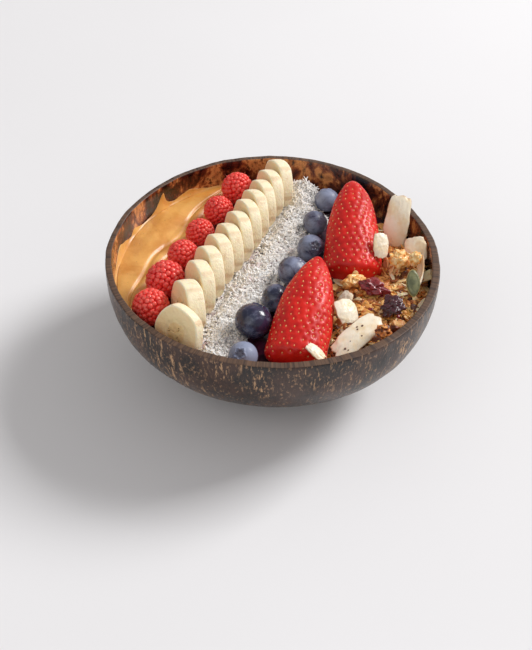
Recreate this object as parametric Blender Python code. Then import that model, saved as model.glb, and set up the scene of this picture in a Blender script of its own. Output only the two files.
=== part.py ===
"""Smoothie bowl in a coconut shell, topped with rows of fruit, coconut and granola.

Metres, +Z up, +Y away from the front of the bowl. The origin is the middle of the flat foot.
The toppings lie in straight rows. A place is given by how far across the rows it lies
(rightwards) and how far along them it lies (backwards).
"""

import math

import bpy
from mathutils import Euler, Matrix, Vector, noise
from mathutils.bvhtree import BVHTree

# Bowl
BOWL_RADIUS = 0.0775
BOWL_HEIGHT = 0.060
BOWL_SEGMENTS = 40
FOOT_RADIUS = 0.020
SHELL_WALL = 0.0032
SHELL_WALL_CHANGE = 0.0006
THICK_SIDE = math.radians(-60)
SHELL_FLOOR = 0.0045
INNER_FLOOR_RADIUS = 0.017
SIDE_ROUND = 1.4
SIDE_FULLNESS = 2.9
LOBES = 3
LOBE_DEPTH = 0.0108
LOBE_TURN = 1.238
RIM_ROUND = 0.0006

# Smoothie base and clearances
BASE_LEVEL = 0.0435
BASE_RIPPLE = 0.0003
GAP = 0.0004
WALL_GAP = 0.0008
BED_FLOOR = BASE_LEVEL + GAP
BED_THINNEST = 0.0009
HEADROOM_ACROSS = 0.0026
HEADROOM_ALONG = 0.0032
SETTLE_STEP = 0.00025

# Rows: turned from straight back towards the right
ROW_TURN = math.radians(21)
NUT_BUTTER_EDGE = -0.0455
NUT_BUTTER_LEVEL = 0.0458
NUT_BUTTER_FRONT = -0.0535
NUT_BUTTER_LENGTH = 0.1150
RIDGE_RISE = 0.0016

RASPBERRY_COUNT = 6
RASPBERRY_ACROSS = -0.0410
RASPBERRY_FIRST = -0.0515
RASPBERRY_PITCH = 0.0197
RASPBERRY_WIDTH = 0.0164
RASPBERRY_WIDTH_CHANGE = 0.0016
DRUPELET_RISE = 0.055

BANANA_COUNT = 12
BANANA_ACROSS = -0.0216
BANANA_FIRST = -0.0478
BANANA_PITCH = 0.0102
BANANA_SPREAD = 0.0046
BANANA_BACK_BEND = 0.0042
BANANA_RADIUS = 0.0125
BANANA_TURN = math.radians(23)
BANANA_LEAN = math.radians(9)
SLUMPED_TURN = math.radians(50)
SLUMPED_LEAN = math.radians(20)
SLUMPED_RADIUS = 0.0125
SLUMPED_THICKNESS = 0.0050
SLUMPED_PLACE = (-0.0402, -0.0528)
BANANA_RIDGE = 0.022

COCONUT_MIDDLE = -0.0070
COCONUT_HALF_WIDTH = 0.0115
COCONUT_HALF_LENGTH = 0.0660
COCONUT_LEVEL = 0.0480
COCONUT_BACK_RISE = 0.0045
COCONUT_REACH = 0.0715

BLUEBERRY_WIDTHS = (0.0134, 0.0174, 0.0140, 0.0153, 0.0142, 0.0128, 0.0128)
BLUEBERRY_ACROSS = (0.0104, 0.0068, 0.0096, 0.0103, 0.0118, 0.0064, 0.0054)
BLUEBERRY_FIRST = -0.0610
BLUEBERRY_PITCH = 0.0201

STRAWBERRY_LENGTH = 0.058
STRAWBERRY_WIDTH = 0.0275
STRAWBERRY_DEPTH = 0.0125
STRAWBERRY_TILT = math.radians(22)
BACK_STRAWBERRY_PLACE = (0.0335, 0.0225)
FRONT_STRAWBERRY_PLACE = (0.0135, -0.0360)

GRANOLA_EDGE = 0.0430
GRANOLA_BACK = 0.0500
GRANOLA_FRONT = -0.0535
GRANOLA_LEVEL = 0.0505
GRANOLA_LUMP = 0.0016

CHIP_THICKNESS = 0.0012
CHIP_CUP = 0.00072
PIECE_START = 0.085

# Pieces on the granola, in the order they are set down: name, size, bend of a chip in
# radians or knobbliness of a nugget, seed of its unevenness, place, and turn in degrees
ON_GRANOLA = (
    ("coconut_chip_3", (0.0240, 0.0095), 0.33, 3.0, (0.0688, -0.0089), (0, 106, -10)),
    ("coconut_chip_2", (0.0120, 0.0110), 0.50, 2.0, (0.0671, 0.0092), (48, -22, -10)),
    ("oat_cluster_3", (0.0135, 0.0080, 0.0060), 0.40, 7.0, (0.0375, -0.0116), (12, 0, 25)),
    ("dried_cranberry_1", (0.0145, 0.0090, 0.0060), 0.55, 8.0, (0.0473, -0.0170), (15, 5, -12)),
    ("dried_cranberry_2", (0.0125, 0.0115, 0.0060), 0.55, 3.3, (0.0532, -0.0311), (15, -8, -35)),
    ("coconut_chip_7", (0.0270, 0.0115), 0.35, 9.9, (0.0373, -0.0491), (16, 10, -44)),
    ("coconut_chip_5", (0.0100, 0.0065), 0.40, 7.7, (0.0322, -0.0260), (40, 0, -38)),
    ("coconut_chip_6", (0.0120, 0.0105), 0.90, 8.8, (0.0332, -0.0386), (30, 8, 30)),
    ("oat_cluster_4", (0.0085, 0.0075, 0.0065), 0.50, 2.2, (0.0490, -0.0497), (0, 10, 30)),
    ("almond_piece", (0.0075, 0.0065, 0.0060), 0.25, 5.5, (0.0560, -0.0430), (0, 10, 15)),
    ("coconut_chip_8", (0.0095, 0.0062), 0.40, 6.6, (0.0193, -0.0642), (20, 10, 55)),
    ("coconut_chip_1", (0.0260, 0.0118), 0.90, 1.0, (0.0590, 0.0238), (58, 0, -12)),
    ("coconut_chip_4", (0.0120, 0.0080), 0.50, 5.0, (0.0506, 0.0053), (45, 15, 15)),
    ("oat_cluster_1", (0.0120, 0.0105, 0.0090), 0.45, 4.0, (0.0597, 0.0029), (10, 15, 20)),
    ("oat_cluster_2", (0.0080, 0.0065, 0.0075), 0.40, 9.0, (0.0663, -0.0004), (0, 25, 60)),
    ("pumpkin_seed", (0.0068, 0.0135, 0.0028), 0.10, 6.0, (0.0634, -0.0203), (34, 4, 4)),
)


def clear_scene():
    for thing in list(bpy.data.objects):
        bpy.data.objects.remove(thing, do_unlink=True)


def material(name, colour, roughness, coat=0.0, subsurface=0.0):
    made = bpy.data.materials.new(name)
    made.use_nodes = True
    shader = made.node_tree.nodes["Principled BSDF"]
    shader.inputs["Base Color"].default_value = (*colour, 1.0)
    shader.inputs["Roughness"].default_value = roughness
    shader.inputs["Coat Weight"].default_value = coat
    shader.inputs["Subsurface Weight"].default_value = subsurface
    made.diffuse_color = (*colour, 1.0)
    return made


def solid(name, points, faces, stuff):
    """One closed mesh facing outwards, as an object in the scene."""
    mesh = bpy.data.meshes.new(name)
    mesh.from_pydata([tuple(p) for p in points], [], faces)
    mesh.validate()
    made = bpy.data.objects.new(name, mesh)
    bpy.context.scene.collection.objects.link(made)
    mesh.materials.append(stuff)
    face_out(mesh)
    return made


def face_out(mesh):
    volume = 0.0
    mesh.calc_loop_triangles()
    for tri in mesh.loop_triangles:
        a, b, c = (mesh.vertices[i].co for i in tri.vertices)
        volume += a.dot(b.cross(c))
    if volume < 0.0:
        mesh.flip_normals()


def row_place(across, along):
    """Turn a place in the rows into x and y."""
    x = across * math.cos(ROW_TURN) + along * math.sin(ROW_TURN)
    y = along * math.cos(ROW_TURN) - across * math.sin(ROW_TURN)
    return x, y


def world_tree(thing):
    bpy.context.view_layer.update()
    points = [thing.matrix_world @ v.co for v in thing.data.vertices]
    thing.data.calc_loop_triangles()
    faces = [tuple(tri.vertices) for tri in thing.data.loop_triangles]
    return BVHTree.FromPolygons(points, faces)


def settle(thing, others, start, lowest=BED_FLOOR):
    """Lower a piece from a height until it all but touches what lies below it."""
    trees = [world_tree(other) for other in others]
    height = start
    while height > lowest - 0.01:
        thing.location.z = height
        here = world_tree(thing)
        bottom = min((thing.matrix_world @ v.co).z for v in thing.data.vertices)
        if bottom < lowest or any(here.overlap(tree) for tree in trees):
            break
        height -= SETTLE_STEP
    thing.location.z = height + SETTLE_STEP + GAP * 0.5
    bpy.context.view_layer.update()


def nest(thing, others, start, step, tries=16):
    """Settle a piece, moving it sideways by small steps until nothing holds it up."""
    alone = thing.location.copy()
    settle(thing, others[:1], start)
    free = thing.location.z
    for k in range(tries):
        thing.location = alone + Vector((step[0] * k, step[1] * k, 0.0))
        settle(thing, others, start)
        if thing.location.z < free + 3.0 * SETTLE_STEP:
            break


# Bowl

def lobe(angle):
    return 1.0 - LOBE_DEPTH * math.cos(LOBES * angle - LOBE_TURN)


def side_radius(depth_share, top_radius, foot_radius):
    foot_share = 1.0 - (foot_radius / top_radius) ** SIDE_ROUND
    return top_radius * (1.0 - foot_share * depth_share ** SIDE_FULLNESS) ** (1.0 / SIDE_ROUND)


def outer_radius(angle, z):
    share = (BOWL_HEIGHT - z) / BOWL_HEIGHT
    return side_radius(share, BOWL_RADIUS, FOOT_RADIUS) * lobe(angle)


def inner_radius(angle, z):
    share = (BOWL_HEIGHT - z) / (BOWL_HEIGHT - SHELL_FLOOR)
    plain = side_radius(share, BOWL_RADIUS - SHELL_WALL, INNER_FLOOR_RADIUS)
    return plain * lobe(angle) - SHELL_WALL_CHANGE * math.cos(angle - THICK_SIDE)


def ring(radius_at, z, inset=0.0):
    points = []
    for i in range(BOWL_SEGMENTS):
        angle = 2.0 * math.pi * i / BOWL_SEGMENTS
        radius = radius_at(angle) - inset
        points.append(Vector((radius * math.cos(angle), radius * math.sin(angle), z)))
    return points


def loft(rings):
    """Faces between rings of equal count, closed by a flat face at each end."""
    count = len(rings[0])
    points = [p for one in rings for p in one]
    faces = []
    for level in range(len(rings) - 1):
        for i in range(count):
            j = (i + 1) % count
            low = level * count
            faces.append((low + i, low + j, low + count + j, low + count + i))
    faces.append(tuple(reversed(range(count))))
    faces.append(tuple(range(len(points) - count, len(points))))
    return points, faces


def inner_levels():
    return [SHELL_FLOOR + rise for rise in (0.0, 0.0040, 0.0110, 0.0220, 0.0340)]


def build_bowl(stuff):
    rings = []
    for share in (0.0, 0.03, 0.10, 0.22, 0.38, 0.56, 0.76, 0.985):
        z = share * BOWL_HEIGHT
        rings.append(ring(lambda a, z=z: outer_radius(a, z), z))
    top = BOWL_HEIGHT
    rings.append(ring(lambda a: outer_radius(a, top), top, RIM_ROUND))
    rings.append(ring(lambda a: inner_radius(a, top), top, -RIM_ROUND))
    rings.append(ring(lambda a: inner_radius(a, top), top - 2.0 * RIM_ROUND))
    upper = [BASE_LEVEL, (BASE_LEVEL + BOWL_HEIGHT) / 2.0]
    for z in reversed(inner_levels() + upper):
        rings.append(ring(lambda a, z=z: inner_radius(a, z), z))
    points, faces = loft(rings)
    return solid("coconut_shell_bowl", points, faces, stuff)


def build_base(stuff):
    """Thick smoothie, filling the shell up to just under the toppings."""
    rings = []
    for z in inner_levels():
        rise = GAP if z == SHELL_FLOOR else 0.0
        rings.append(ring(lambda a, z=z: inner_radius(a, z), z + rise, WALL_GAP))
    level = BASE_LEVEL
    rings.append(ring(lambda a: inner_radius(a, level), level - 0.0012, WALL_GAP))
    for share in (0.985, 0.80, 0.60, 0.38, 0.16):
        one = []
        for i in range(BOWL_SEGMENTS):
            angle = 2.0 * math.pi * i / BOWL_SEGMENTS
            radius = (inner_radius(angle, level) - WALL_GAP) * share
            x = radius * math.cos(angle)
            y = radius * math.sin(angle)
            dip = BASE_RIPPLE * (0.5 + 0.5 * noise.noise(Vector((x, y, 0.0)) * 90.0))
            one.append(Vector((x, y, level - dip)))
        rings.append(one)
    points, faces = loft(rings)
    points.append(Vector((0.0, 0.0, level)))
    rim = faces.pop()
    for i, j in zip(rim, rim[1:] + rim[:1]):
        faces.append((i, j, len(points) - 1))
    return solid("smoothie_base", points, faces, stuff)


# Round fruit

def round_body(segments, rings, half_height, radius_at):
    """A body about z. radius_at gives the radius from the share up and the angle."""
    points = [Vector((0.0, 0.0, -half_height))]
    for level in range(1, rings):
        polar = math.pi * level / rings
        for i in range(segments):
            angle = 2.0 * math.pi * i / segments
            radius, lift = radius_at(polar, angle, level, i)
            z = -half_height * math.cos(polar) * lift
            points.append(Vector((radius * math.cos(angle), radius * math.sin(angle), z)))
    points.append(Vector((0.0, 0.0, half_height)))
    faces = []
    last = len(points) - 1
    for i in range(segments):
        j = (i + 1) % segments
        faces.append((0, 1 + j, 1 + i))
        top = 1 + (rings - 2) * segments
        faces.append((last, top + i, top + j))
        for level in range(rings - 2):
            low = 1 + level * segments
            faces.append((low + i, low + j, low + segments + j, low + segments + i))
    return points, faces


def build_raspberry(number, width, stuff):
    """Rounded cone of small beads, wide end down."""
    height = width * 1.04

    def radius_at(polar, angle, level, i):
        bead = 1.0 + DRUPELET_RISE * (1 if (level + i) % 2 else -1)
        taper = 1.0 - 0.10 * (1.0 - math.cos(polar)) * 0.5
        return 0.5 * width * math.sin(polar) ** 0.82 * taper * bead, bead

    points, faces = round_body(12, 8, height / 2.0, radius_at)
    return solid(f"raspberry_{number}", points, faces, stuff)


def build_blueberry(number, width, stuff):
    """Slightly flattened ball with a five-pointed crown around a dimple."""
    half = width * 0.46
    points, faces = round_body(15, 7, half, lambda polar, a, level, i: (
        0.5 * width * math.sin(polar), 1.0))
    crown = len(points)
    top = 1 + 5 * 15
    points.pop()
    faces = [face for face in faces if crown - 1 not in face]
    first = len(points)
    for share, rise, point in ((0.30, 1.06, 0.18), (0.17, 0.97, 0.0)):
        for i in range(15):
            angle = 2.0 * math.pi * i / 15
            radius = 0.5 * width * share * (1.0 + point * math.cos(5.0 * angle))
            points.append(Vector((radius * math.cos(angle), radius * math.sin(angle),
                                  half * rise * 0.96)))
    points.append(Vector((0.0, 0.0, half * 0.88)))
    for i in range(15):
        j = (i + 1) % 15
        faces.append((top + i, top + j, first + j, first + i))
        faces.append((first + i, first + j, first + 15 + j, first + 15 + i))
        faces.append((first + 15 + i, first + 15 + j, len(points) - 1))
    return solid(f"blueberry_{number}", points, faces, stuff)


def build_banana_slice(number, radius, thickness, stuff):
    """Round slice about z with five soft ridges and a shallow seed hollow."""
    count = 15

    def outline(share, z):
        one = []
        for i in range(count):
            angle = 2.0 * math.pi * i / count
            r = radius * share * (1.0 + BANANA_RIDGE * math.cos(5.0 * angle + number))
            one.append(Vector((r * math.cos(angle), r * math.sin(angle), z)))
        return one

    half = thickness / 2.0
    rings = [outline(0.95, -half), outline(1.0, -half * 0.75)]
    rings += [outline(1.0, half * 0.75), outline(0.95, half)]
    points, faces = loft(rings)
    points.append(Vector((0.0, 0.0, -half * 0.93)))
    points.append(Vector((0.0, 0.0, half * 0.93)))
    rim = faces.pop()
    for i, j in zip(rim, rim[1:] + rim[:1]):
        faces.append((i, j, len(points) - 1))
    rim = faces.pop()
    for i, j in zip(rim, rim[1:] + rim[:1]):
        faces.append((i, j, len(points) - 2))
    return solid(f"banana_slice_{number}", points, faces, stuff)


def build_strawberry_half(number, stuff):
    """Half a berry, skin up and cut face down, tip along +y."""
    stations = 10
    around = 11
    rings = []
    for s in range(stations):
        share = 0.015 + 0.965 * s / (stations - 1)
        wide = (1.0 - share ** 3.0) ** 0.68
        wide *= math.sqrt(1.0 - max(0.0, 1.0 - share / 0.12) ** 2)
        one = []
        for a in range(around):
            angle = math.pi * a / (around - 1)
            bump = 1.0 + 0.02 * math.sin(3.0 * s + 2.0 * a)
            x = 0.5 * STRAWBERRY_WIDTH * wide * math.cos(angle) * bump
            z = STRAWBERRY_DEPTH * wide ** 0.9 * math.sin(angle) * bump
            y = STRAWBERRY_LENGTH * (share - 0.5)
            one.append(Vector((x, y, z)))
        rings.append(one)
    points = [p for one in rings for p in one]
    faces = []
    for s in range(stations - 1):
        for a in range(around - 1):
            low = s * around + a
            faces.append((low, low + 1, low + around + 1, low + around))
        left = s * around
        right = left + around - 1
        faces.append((right, left, left + around, right + around))
    faces.append(tuple(reversed(range(around))))
    faces.append(tuple(range(len(points) - around, len(points))))
    return solid(f"strawberry_half_{number}", points, faces, stuff)


def place(thing, across, along, turn=(0.0, 0.0, 0.0)):
    x, y = row_place(across, along)
    thing.location = (x, y, BOWL_HEIGHT)
    thing.rotation_euler = Euler([math.radians(t) for t in turn])


def build_raspberry_row(stuff, below):
    row = []
    for i in range(RASPBERRY_COUNT):
        width = RASPBERRY_WIDTH + RASPBERRY_WIDTH_CHANGE * math.cos(1.15 * i - 0.6)
        berry = build_raspberry(i + 1, width, stuff)
        across = RASPBERRY_ACROSS + 0.0004 * (i - 2.5) ** 2
        lying = 62.0 if i == 1 else 14.0
        place(berry, across, RASPBERRY_FIRST + RASPBERRY_PITCH * i, (lying, 8.0 * i - 20.0, 40.0 * i))
        nest(berry, below, 0.066, (-0.0004, 0.0))
        row.append(berry)
    return row


def build_blueberry_row(stuff, below):
    row = []
    for i, (width, across) in enumerate(zip(BLUEBERRY_WIDTHS, BLUEBERRY_ACROSS)):
        berry = build_blueberry(i + 1, width, stuff)
        along = BLUEBERRY_FIRST + BLUEBERRY_PITCH * i
        turn = (35.0 * math.sin(2.0 * i), 30.0 * math.cos(1.7 * i), 25.0 * i)
        place(berry, across, along, turn)
        nest(berry, below, 0.066, (0.0005, 0.0))
        row.append(berry)
    return row


def banana_along(i):
    """Slices lie further apart at the front of the row."""
    share = max(0.0, i / (BANANA_COUNT - 2.0))
    return BANANA_FIRST + BANANA_PITCH * i + BANANA_SPREAD * math.sin(math.pi * share ** 0.55)


def build_banana_row(stuff, below):
    """Slices on edge, fanned along the row; the one at the front has slumped over."""
    spots = []
    for i in range(BANANA_COUNT - 1):
        bend = BANANA_BACK_BEND * max(0.0, (i - 6.5) / 4.0) ** 1.5
        across = BANANA_ACROSS - 0.0010 * math.cos(0.75 * (i - 2)) + bend
        spots.append(Vector(row_place(across, banana_along(i))))
    axis = Vector((math.cos(BANANA_TURN), math.sin(BANANA_TURN)))
    room = [(b - a).dot(axis) * math.cos(BANANA_LEAN) for a, b in zip(spots, spots[1:])]
    row = []
    for i, spot in enumerate(spots):
        radius = BANANA_RADIUS * (1.0 + 0.02 * math.sin(1.3 * i))
        thickness = min(room[max(i - 1, 0):i + 1]) - 1.5 * GAP
        piece = build_banana_slice(i + 2, radius, thickness, stuff)
        piece.rotation_euler = slice_turn(BANANA_TURN, BANANA_LEAN)
        piece.location = (spot.x, spot.y, BOWL_HEIGHT)
        settle(piece, below, 0.070)
        row.append(piece)
    piece = build_banana_slice(1, SLUMPED_RADIUS, SLUMPED_THICKNESS, stuff)
    piece.rotation_euler = slice_turn(SLUMPED_TURN, SLUMPED_LEAN)
    piece.location = (*SLUMPED_PLACE, BOWL_HEIGHT)
    settle(piece, below + row, 0.070)
    return [piece] + row


def slice_turn(turn, lean):
    upright = Matrix.Rotation(math.pi / 2.0 + lean, 4, "Y")
    return (Matrix.Rotation(turn, 4, "Z") @ upright).to_euler()


def build_strawberries(stuff, below):
    back = build_strawberry_half(1, stuff)
    back.location = (*BACK_STRAWBERRY_PLACE, BOWL_HEIGHT)
    back.rotation_euler = (STRAWBERRY_TILT, math.radians(4), math.radians(1))
    nest(back, below, 0.078, (0.0005, 0.0))
    front = build_strawberry_half(2, stuff)
    front.location = (*FRONT_STRAWBERRY_PLACE, BOWL_HEIGHT)
    front.rotation_euler = (STRAWBERRY_TILT * 0.95, math.radians(-3), math.radians(-13))
    nest(front, below + [back], 0.078, (0.0005, 0.0))
    return [back, front]


# Beds: loose or spread toppings with an uneven top

def ceiling(trees, x, y):
    """Height of the lowest thing above a point of the base, near that point."""
    lowest = 1.0
    for dx in (-HEADROOM_ACROSS, 0.0, HEADROOM_ACROSS):
        for dy in (-HEADROOM_ALONG, 0.0, HEADROOM_ALONG):
            start = Vector((x + dx, y + dy, BED_FLOOR - 0.0001))
            for tree in trees:
                hit = tree.ray_cast(start, Vector((0.0, 0.0, 1.0)))[0]
                if hit is not None:
                    lowest = min(lowest, hit.z)
    return lowest


def open_edge(trees, along, start, end):
    """Go from start towards end across the row, as far as there is room for a thin bed."""
    steps = 40
    reach = start
    for k in range(steps + 1):
        across = start + (end - start) * k / steps
        x, y = row_place(across, along)
        if ceiling(trees, x, y) < BED_FLOOR + BED_THINNEST + 4.0 * GAP:
            break
        reach = across
    return reach


def bed(name, lines, trees, stuff):
    """Closed body under a grid of top points, kept clear of everything above it."""
    rows = len(lines)
    cols = len(lines[0])
    points = []
    for line in lines:
        for x, y, z in line:
            room = ceiling(trees, x, y) - 3.0 * GAP
            points.append(Vector((x, y, max(min(z, room), BED_FLOOR + BED_THINNEST * 0.6))))
    faces = []
    for r in range(rows - 1):
        for c in range(cols - 1):
            low = r * cols + c
            faces.append((low, low + 1, low + cols + 1, low + cols))
    edge = [c for c in range(cols)]
    edge += [r * cols + cols - 1 for r in range(1, rows)]
    edge += [(rows - 1) * cols + c for c in range(cols - 2, -1, -1)]
    edge += [r * cols for r in range(rows - 2, 0, -1)]
    first = len(points)
    for i in edge:
        points.append(Vector((points[i].x, points[i].y, BED_FLOOR)))
    count = len(edge)
    for k in range(count):
        m = (k + 1) % count
        faces.append((edge[m], edge[k], first + k, first + m))
    faces.append(tuple(first + k for k in reversed(range(count))))
    return solid(name, points, faces, stuff)


def wall_reach(along, side):
    """How far across the row the shell wall lies at this place, with clearance."""
    radius = BOWL_RADIUS - SHELL_WALL
    for _ in range(3):
        across = side * math.sqrt(max(radius ** 2 - along ** 2, 1e-8))
        x, y = row_place(across, along)
        radius = inner_radius(math.atan2(y, x), BED_FLOOR) - WALL_GAP
    return across


def build_nut_butter(stuff, above):
    trees = [world_tree(thing) for thing in above]
    rows = 21
    cols = 9
    lines = []
    for r in range(rows):
        along = NUT_BUTTER_FRONT + NUT_BUTTER_LENGTH * r / (rows - 1)
        left = wall_reach(along, -1.0)
        right = open_edge(trees, along, left, NUT_BUTTER_EDGE)
        right = max(right, left + 0.0012)
        line = []
        for c in range(cols):
            share = c / (cols - 1)
            across = left + (right - left) * share
            x, y = row_place(across, along)
            swirl = RIDGE_RISE * math.sin(9.0 * share + 22.0 * along) ** 2
            ridge = RIDGE_RISE * math.exp(-((share - 0.86) / 0.10) ** 2)
            z = NUT_BUTTER_LEVEL + (swirl * 0.5 + ridge) * math.sin(math.pi * share) ** 0.5
            z += 0.0012 * (1.0 - share) ** 4
            line.append((x, y, z))
        lines.append(line)
    return bed("nut_butter", lines, trees, stuff)


def build_coconut_strip(stuff, above):
    """Heap of fine shreds between the banana and the blueberries, fluffier at the back."""
    trees = [world_tree(thing) for thing in above]
    rows = 25
    cols = 7
    lines = []
    for r in range(rows):
        along = COCONUT_HALF_LENGTH * (2.0 * r / (rows - 1) - 1.0)
        middle = COCONUT_MIDDLE
        left = open_edge(trees, along, middle, middle - COCONUT_HALF_WIDTH)
        right = open_edge(trees, along, middle, middle + COCONUT_HALF_WIDTH)
        reach = math.sqrt(max(COCONUT_REACH ** 2 - along ** 2, 1e-8))
        left = max(left, -reach)
        rise = COCONUT_BACK_RISE * max(0.0, along / COCONUT_HALF_LENGTH) ** 3
        line = []
        for c in range(cols):
            share = c / (cols - 1)
            across = left + (right - left) * share
            x, y = row_place(across, along)
            grain = 0.0011 * noise.noise(Vector((x, y, 0.01)) * 210.0)
            mound = 0.72 * math.sin(math.pi * share) ** 0.5 + 0.28
            line.append((x, y, BED_FLOOR + (COCONUT_LEVEL - BED_FLOOR + rise) * mound + grain))
        lines.append(line)
    return bed("shredded_coconut", lines, trees, stuff)


def build_granola(stuff, above):
    """Heap of baked oats against the right side of the shell."""
    trees = [world_tree(thing) for thing in above]
    rows = 27
    cols = 8
    lines = []
    for r in range(rows):
        share_along = r / (rows - 1)
        along = GRANOLA_FRONT + (GRANOLA_BACK - GRANOLA_FRONT) * share_along
        right = wall_reach(along, 1.0)
        left = open_edge(trees, along, right - 0.0020, GRANOLA_EDGE - 0.010) + 0.0016
        line = []
        for c in range(cols):
            share = c / (cols - 1)
            across = left + (right - left) * share
            x, y = row_place(across, along)
            lump = GRANOLA_LUMP * noise.noise(Vector((x, y, 0.3)) * 170.0)
            end = math.sin(math.pi * min(max(share_along, 0.03), 0.97)) ** 0.35
            side = 0.45 + 0.55 * min(1.0, share * 3.5)
            line.append((x, y, BED_FLOOR + (GRANOLA_LEVEL - BED_FLOOR) * end * side + lump))
        lines.append(line)
    return bed("granola", lines, trees, stuff)


# Larger pieces on the granola

def build_chip(name, size, bend, stuff, seed):
    """Thin shaving of dried coconut, curved along its length; size is length and width."""
    length, width = size
    rows = 6
    cols = 4
    turn = bend / length
    layers = []
    for side in (-0.5, 0.5):
        layer = []
        for r in range(rows):
            v = 2.0 * r / (rows - 1) - 1.0
            for c in range(cols):
                u = 2.0 * c / (cols - 1) - 1.0
                edge = 1.0 - 0.22 * v * v
                ragged = 0.10 * noise.noise(Vector((u * 2.0, v * 2.0, seed)))
                x = 0.5 * width * (u * edge + ragged)
                s = 0.5 * length * (v * (1.0 - 0.10 * u * u) + ragged)
                depth = side * CHIP_THICKNESS
                y = math.sin(s * turn) * (1.0 / turn + depth)
                z = math.cos(s * turn) * (1.0 / turn + depth) - 1.0 / turn
                layer.append(Vector((x, y, z - CHIP_CUP * u * u)))
        layers.append(layer)
    points = layers[0] + layers[1]
    half = rows * cols
    faces = []
    for r in range(rows - 1):
        for c in range(cols - 1):
            low = r * cols + c
            faces.append((low, low + cols, low + cols + 1, low + 1))
            faces.append((half + low, half + low + 1, half + low + cols + 1, half + low + cols))
    edge = [c for c in range(cols)]
    edge += [r * cols + cols - 1 for r in range(1, rows)]
    edge += [(rows - 1) * cols + c for c in range(cols - 2, -1, -1)]
    edge += [r * cols for r in range(rows - 2, 0, -1)]
    for k, i in enumerate(edge):
        j = edge[(k + 1) % len(edge)]
        faces.append((i, j, half + j, half + i))
    return solid(name, points, faces, stuff)


def build_lump(name, size, knobble, stuff, seed, segments=9, rings=6):
    """Uneven nugget about its middle; size is its full x, y and z."""

    def radius_at(polar, angle, level, i):
        way = Vector((math.cos(angle) * math.sin(polar), math.sin(angle) * math.sin(polar),
                      -math.cos(polar)))
        swell = 1.0 + knobble * noise.noise(way * 1.9 + Vector((seed, 0.0, 0.0)))
        return 0.5 * math.sin(polar) ** 0.8 * swell, swell

    points, faces = round_body(segments, rings, 0.5, radius_at)
    stretch = Vector(size)
    points = [Vector((p.x * stretch.x, p.y * stretch.y, p.z * stretch.z)) for p in points]
    return solid(name, points, faces, stuff)


def top_piece(thing, x, y, turn, below):
    """Set a piece over a place on the heap and lower it onto what is there."""
    thing.location = (x, y, PIECE_START)
    thing.rotation_euler = Euler([math.radians(t) for t in turn])
    settle(thing, below, PIECE_START)
    below.append(thing)


def build_granola_pieces(stuffs, below):
    for name, size, bend, seed, (x, y), turn in ON_GRANOLA:
        kind = name.rstrip("_0123456789")
        make = build_chip if kind == "coconut_chip" else build_lump
        piece = make(name, size, bend, stuffs[kind], seed)
        top_piece(piece, x, y, turn, below)


def build_all():
    clear_scene()
    shell = material("coconut_shell", (0.075, 0.042, 0.026), 0.42, coat=0.25)
    smoothie = material("berry_smoothie", (0.055, 0.012, 0.035), 0.45)
    butter = material("nut_butter", (0.62, 0.33, 0.095), 0.28, subsurface=0.15)
    raspberry = material("raspberry", (0.62, 0.035, 0.045), 0.40, subsurface=0.15)
    banana = material("banana", (0.88, 0.78, 0.55), 0.45, subsurface=0.20)
    blueberry = material("blueberry", (0.045, 0.060, 0.130), 0.42)
    strawberry = material("strawberry", (0.66, 0.025, 0.018), 0.22, coat=0.3)
    coconut = material("coconut", (0.86, 0.83, 0.80), 0.65, subsurface=0.10)
    oats = material("baked_oats", (0.52, 0.26, 0.075), 0.60)
    chips = material("coconut_chip", (0.86, 0.78, 0.62), 0.50, subsurface=0.10)
    cranberry = material("dried_cranberry", (0.13, 0.012, 0.016), 0.30)
    almond = material("almond", (0.58, 0.32, 0.11), 0.50)
    pumpkin = material("pumpkin_seed", (0.30, 0.29, 0.10), 0.45)

    bowl = build_bowl(shell)
    base = build_base(smoothie)
    standing = [bowl, base]
    bananas = build_banana_row(banana, standing)
    standing = standing + bananas
    raspberries = build_raspberry_row(raspberry, standing)
    standing = standing + raspberries
    blueberries = build_blueberry_row(blueberry, standing)
    standing = standing + blueberries
    strawberries = build_strawberries(strawberry, standing)
    fruit = raspberries + bananas + blueberries + strawberries
    butter_bed = build_nut_butter(butter, fruit)
    shreds = build_coconut_strip(coconut, fruit)
    granola = build_granola(oats, fruit)
    below = [bowl, butter_bed, shreds, granola] + fruit
    stuffs = {"coconut_chip": chips, "oat_cluster": oats, "dried_cranberry": cranberry,
              "almond_piece": almond, "pumpkin_seed": pumpkin}
    build_granola_pieces(stuffs, below)
    bpy.context.view_layer.update()


build_all()
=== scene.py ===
# Berry smoothie bowl in a coconut shell: looks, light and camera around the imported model.
import math
import random

import bpy
import numpy as np
from mathutils import Euler, Matrix, Vector, noise
from mathutils.bvhtree import BVHTree


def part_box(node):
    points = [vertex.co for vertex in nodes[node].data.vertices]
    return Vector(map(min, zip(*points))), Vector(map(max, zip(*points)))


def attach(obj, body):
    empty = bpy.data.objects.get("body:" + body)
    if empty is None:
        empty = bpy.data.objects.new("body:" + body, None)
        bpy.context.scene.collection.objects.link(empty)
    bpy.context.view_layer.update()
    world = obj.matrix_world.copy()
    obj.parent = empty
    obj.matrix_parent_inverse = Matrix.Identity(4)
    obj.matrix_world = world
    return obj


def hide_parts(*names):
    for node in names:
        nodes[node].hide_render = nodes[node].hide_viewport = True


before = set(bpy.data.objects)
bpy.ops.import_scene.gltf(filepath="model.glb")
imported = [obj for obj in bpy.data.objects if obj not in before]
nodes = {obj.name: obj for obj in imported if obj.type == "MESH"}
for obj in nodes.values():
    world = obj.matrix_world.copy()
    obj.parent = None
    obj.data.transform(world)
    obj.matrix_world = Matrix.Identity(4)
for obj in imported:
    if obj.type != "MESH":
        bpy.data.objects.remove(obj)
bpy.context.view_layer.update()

scene = bpy.context.scene
full = 2.0 * math.pi


# Paint and node helpers

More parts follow.
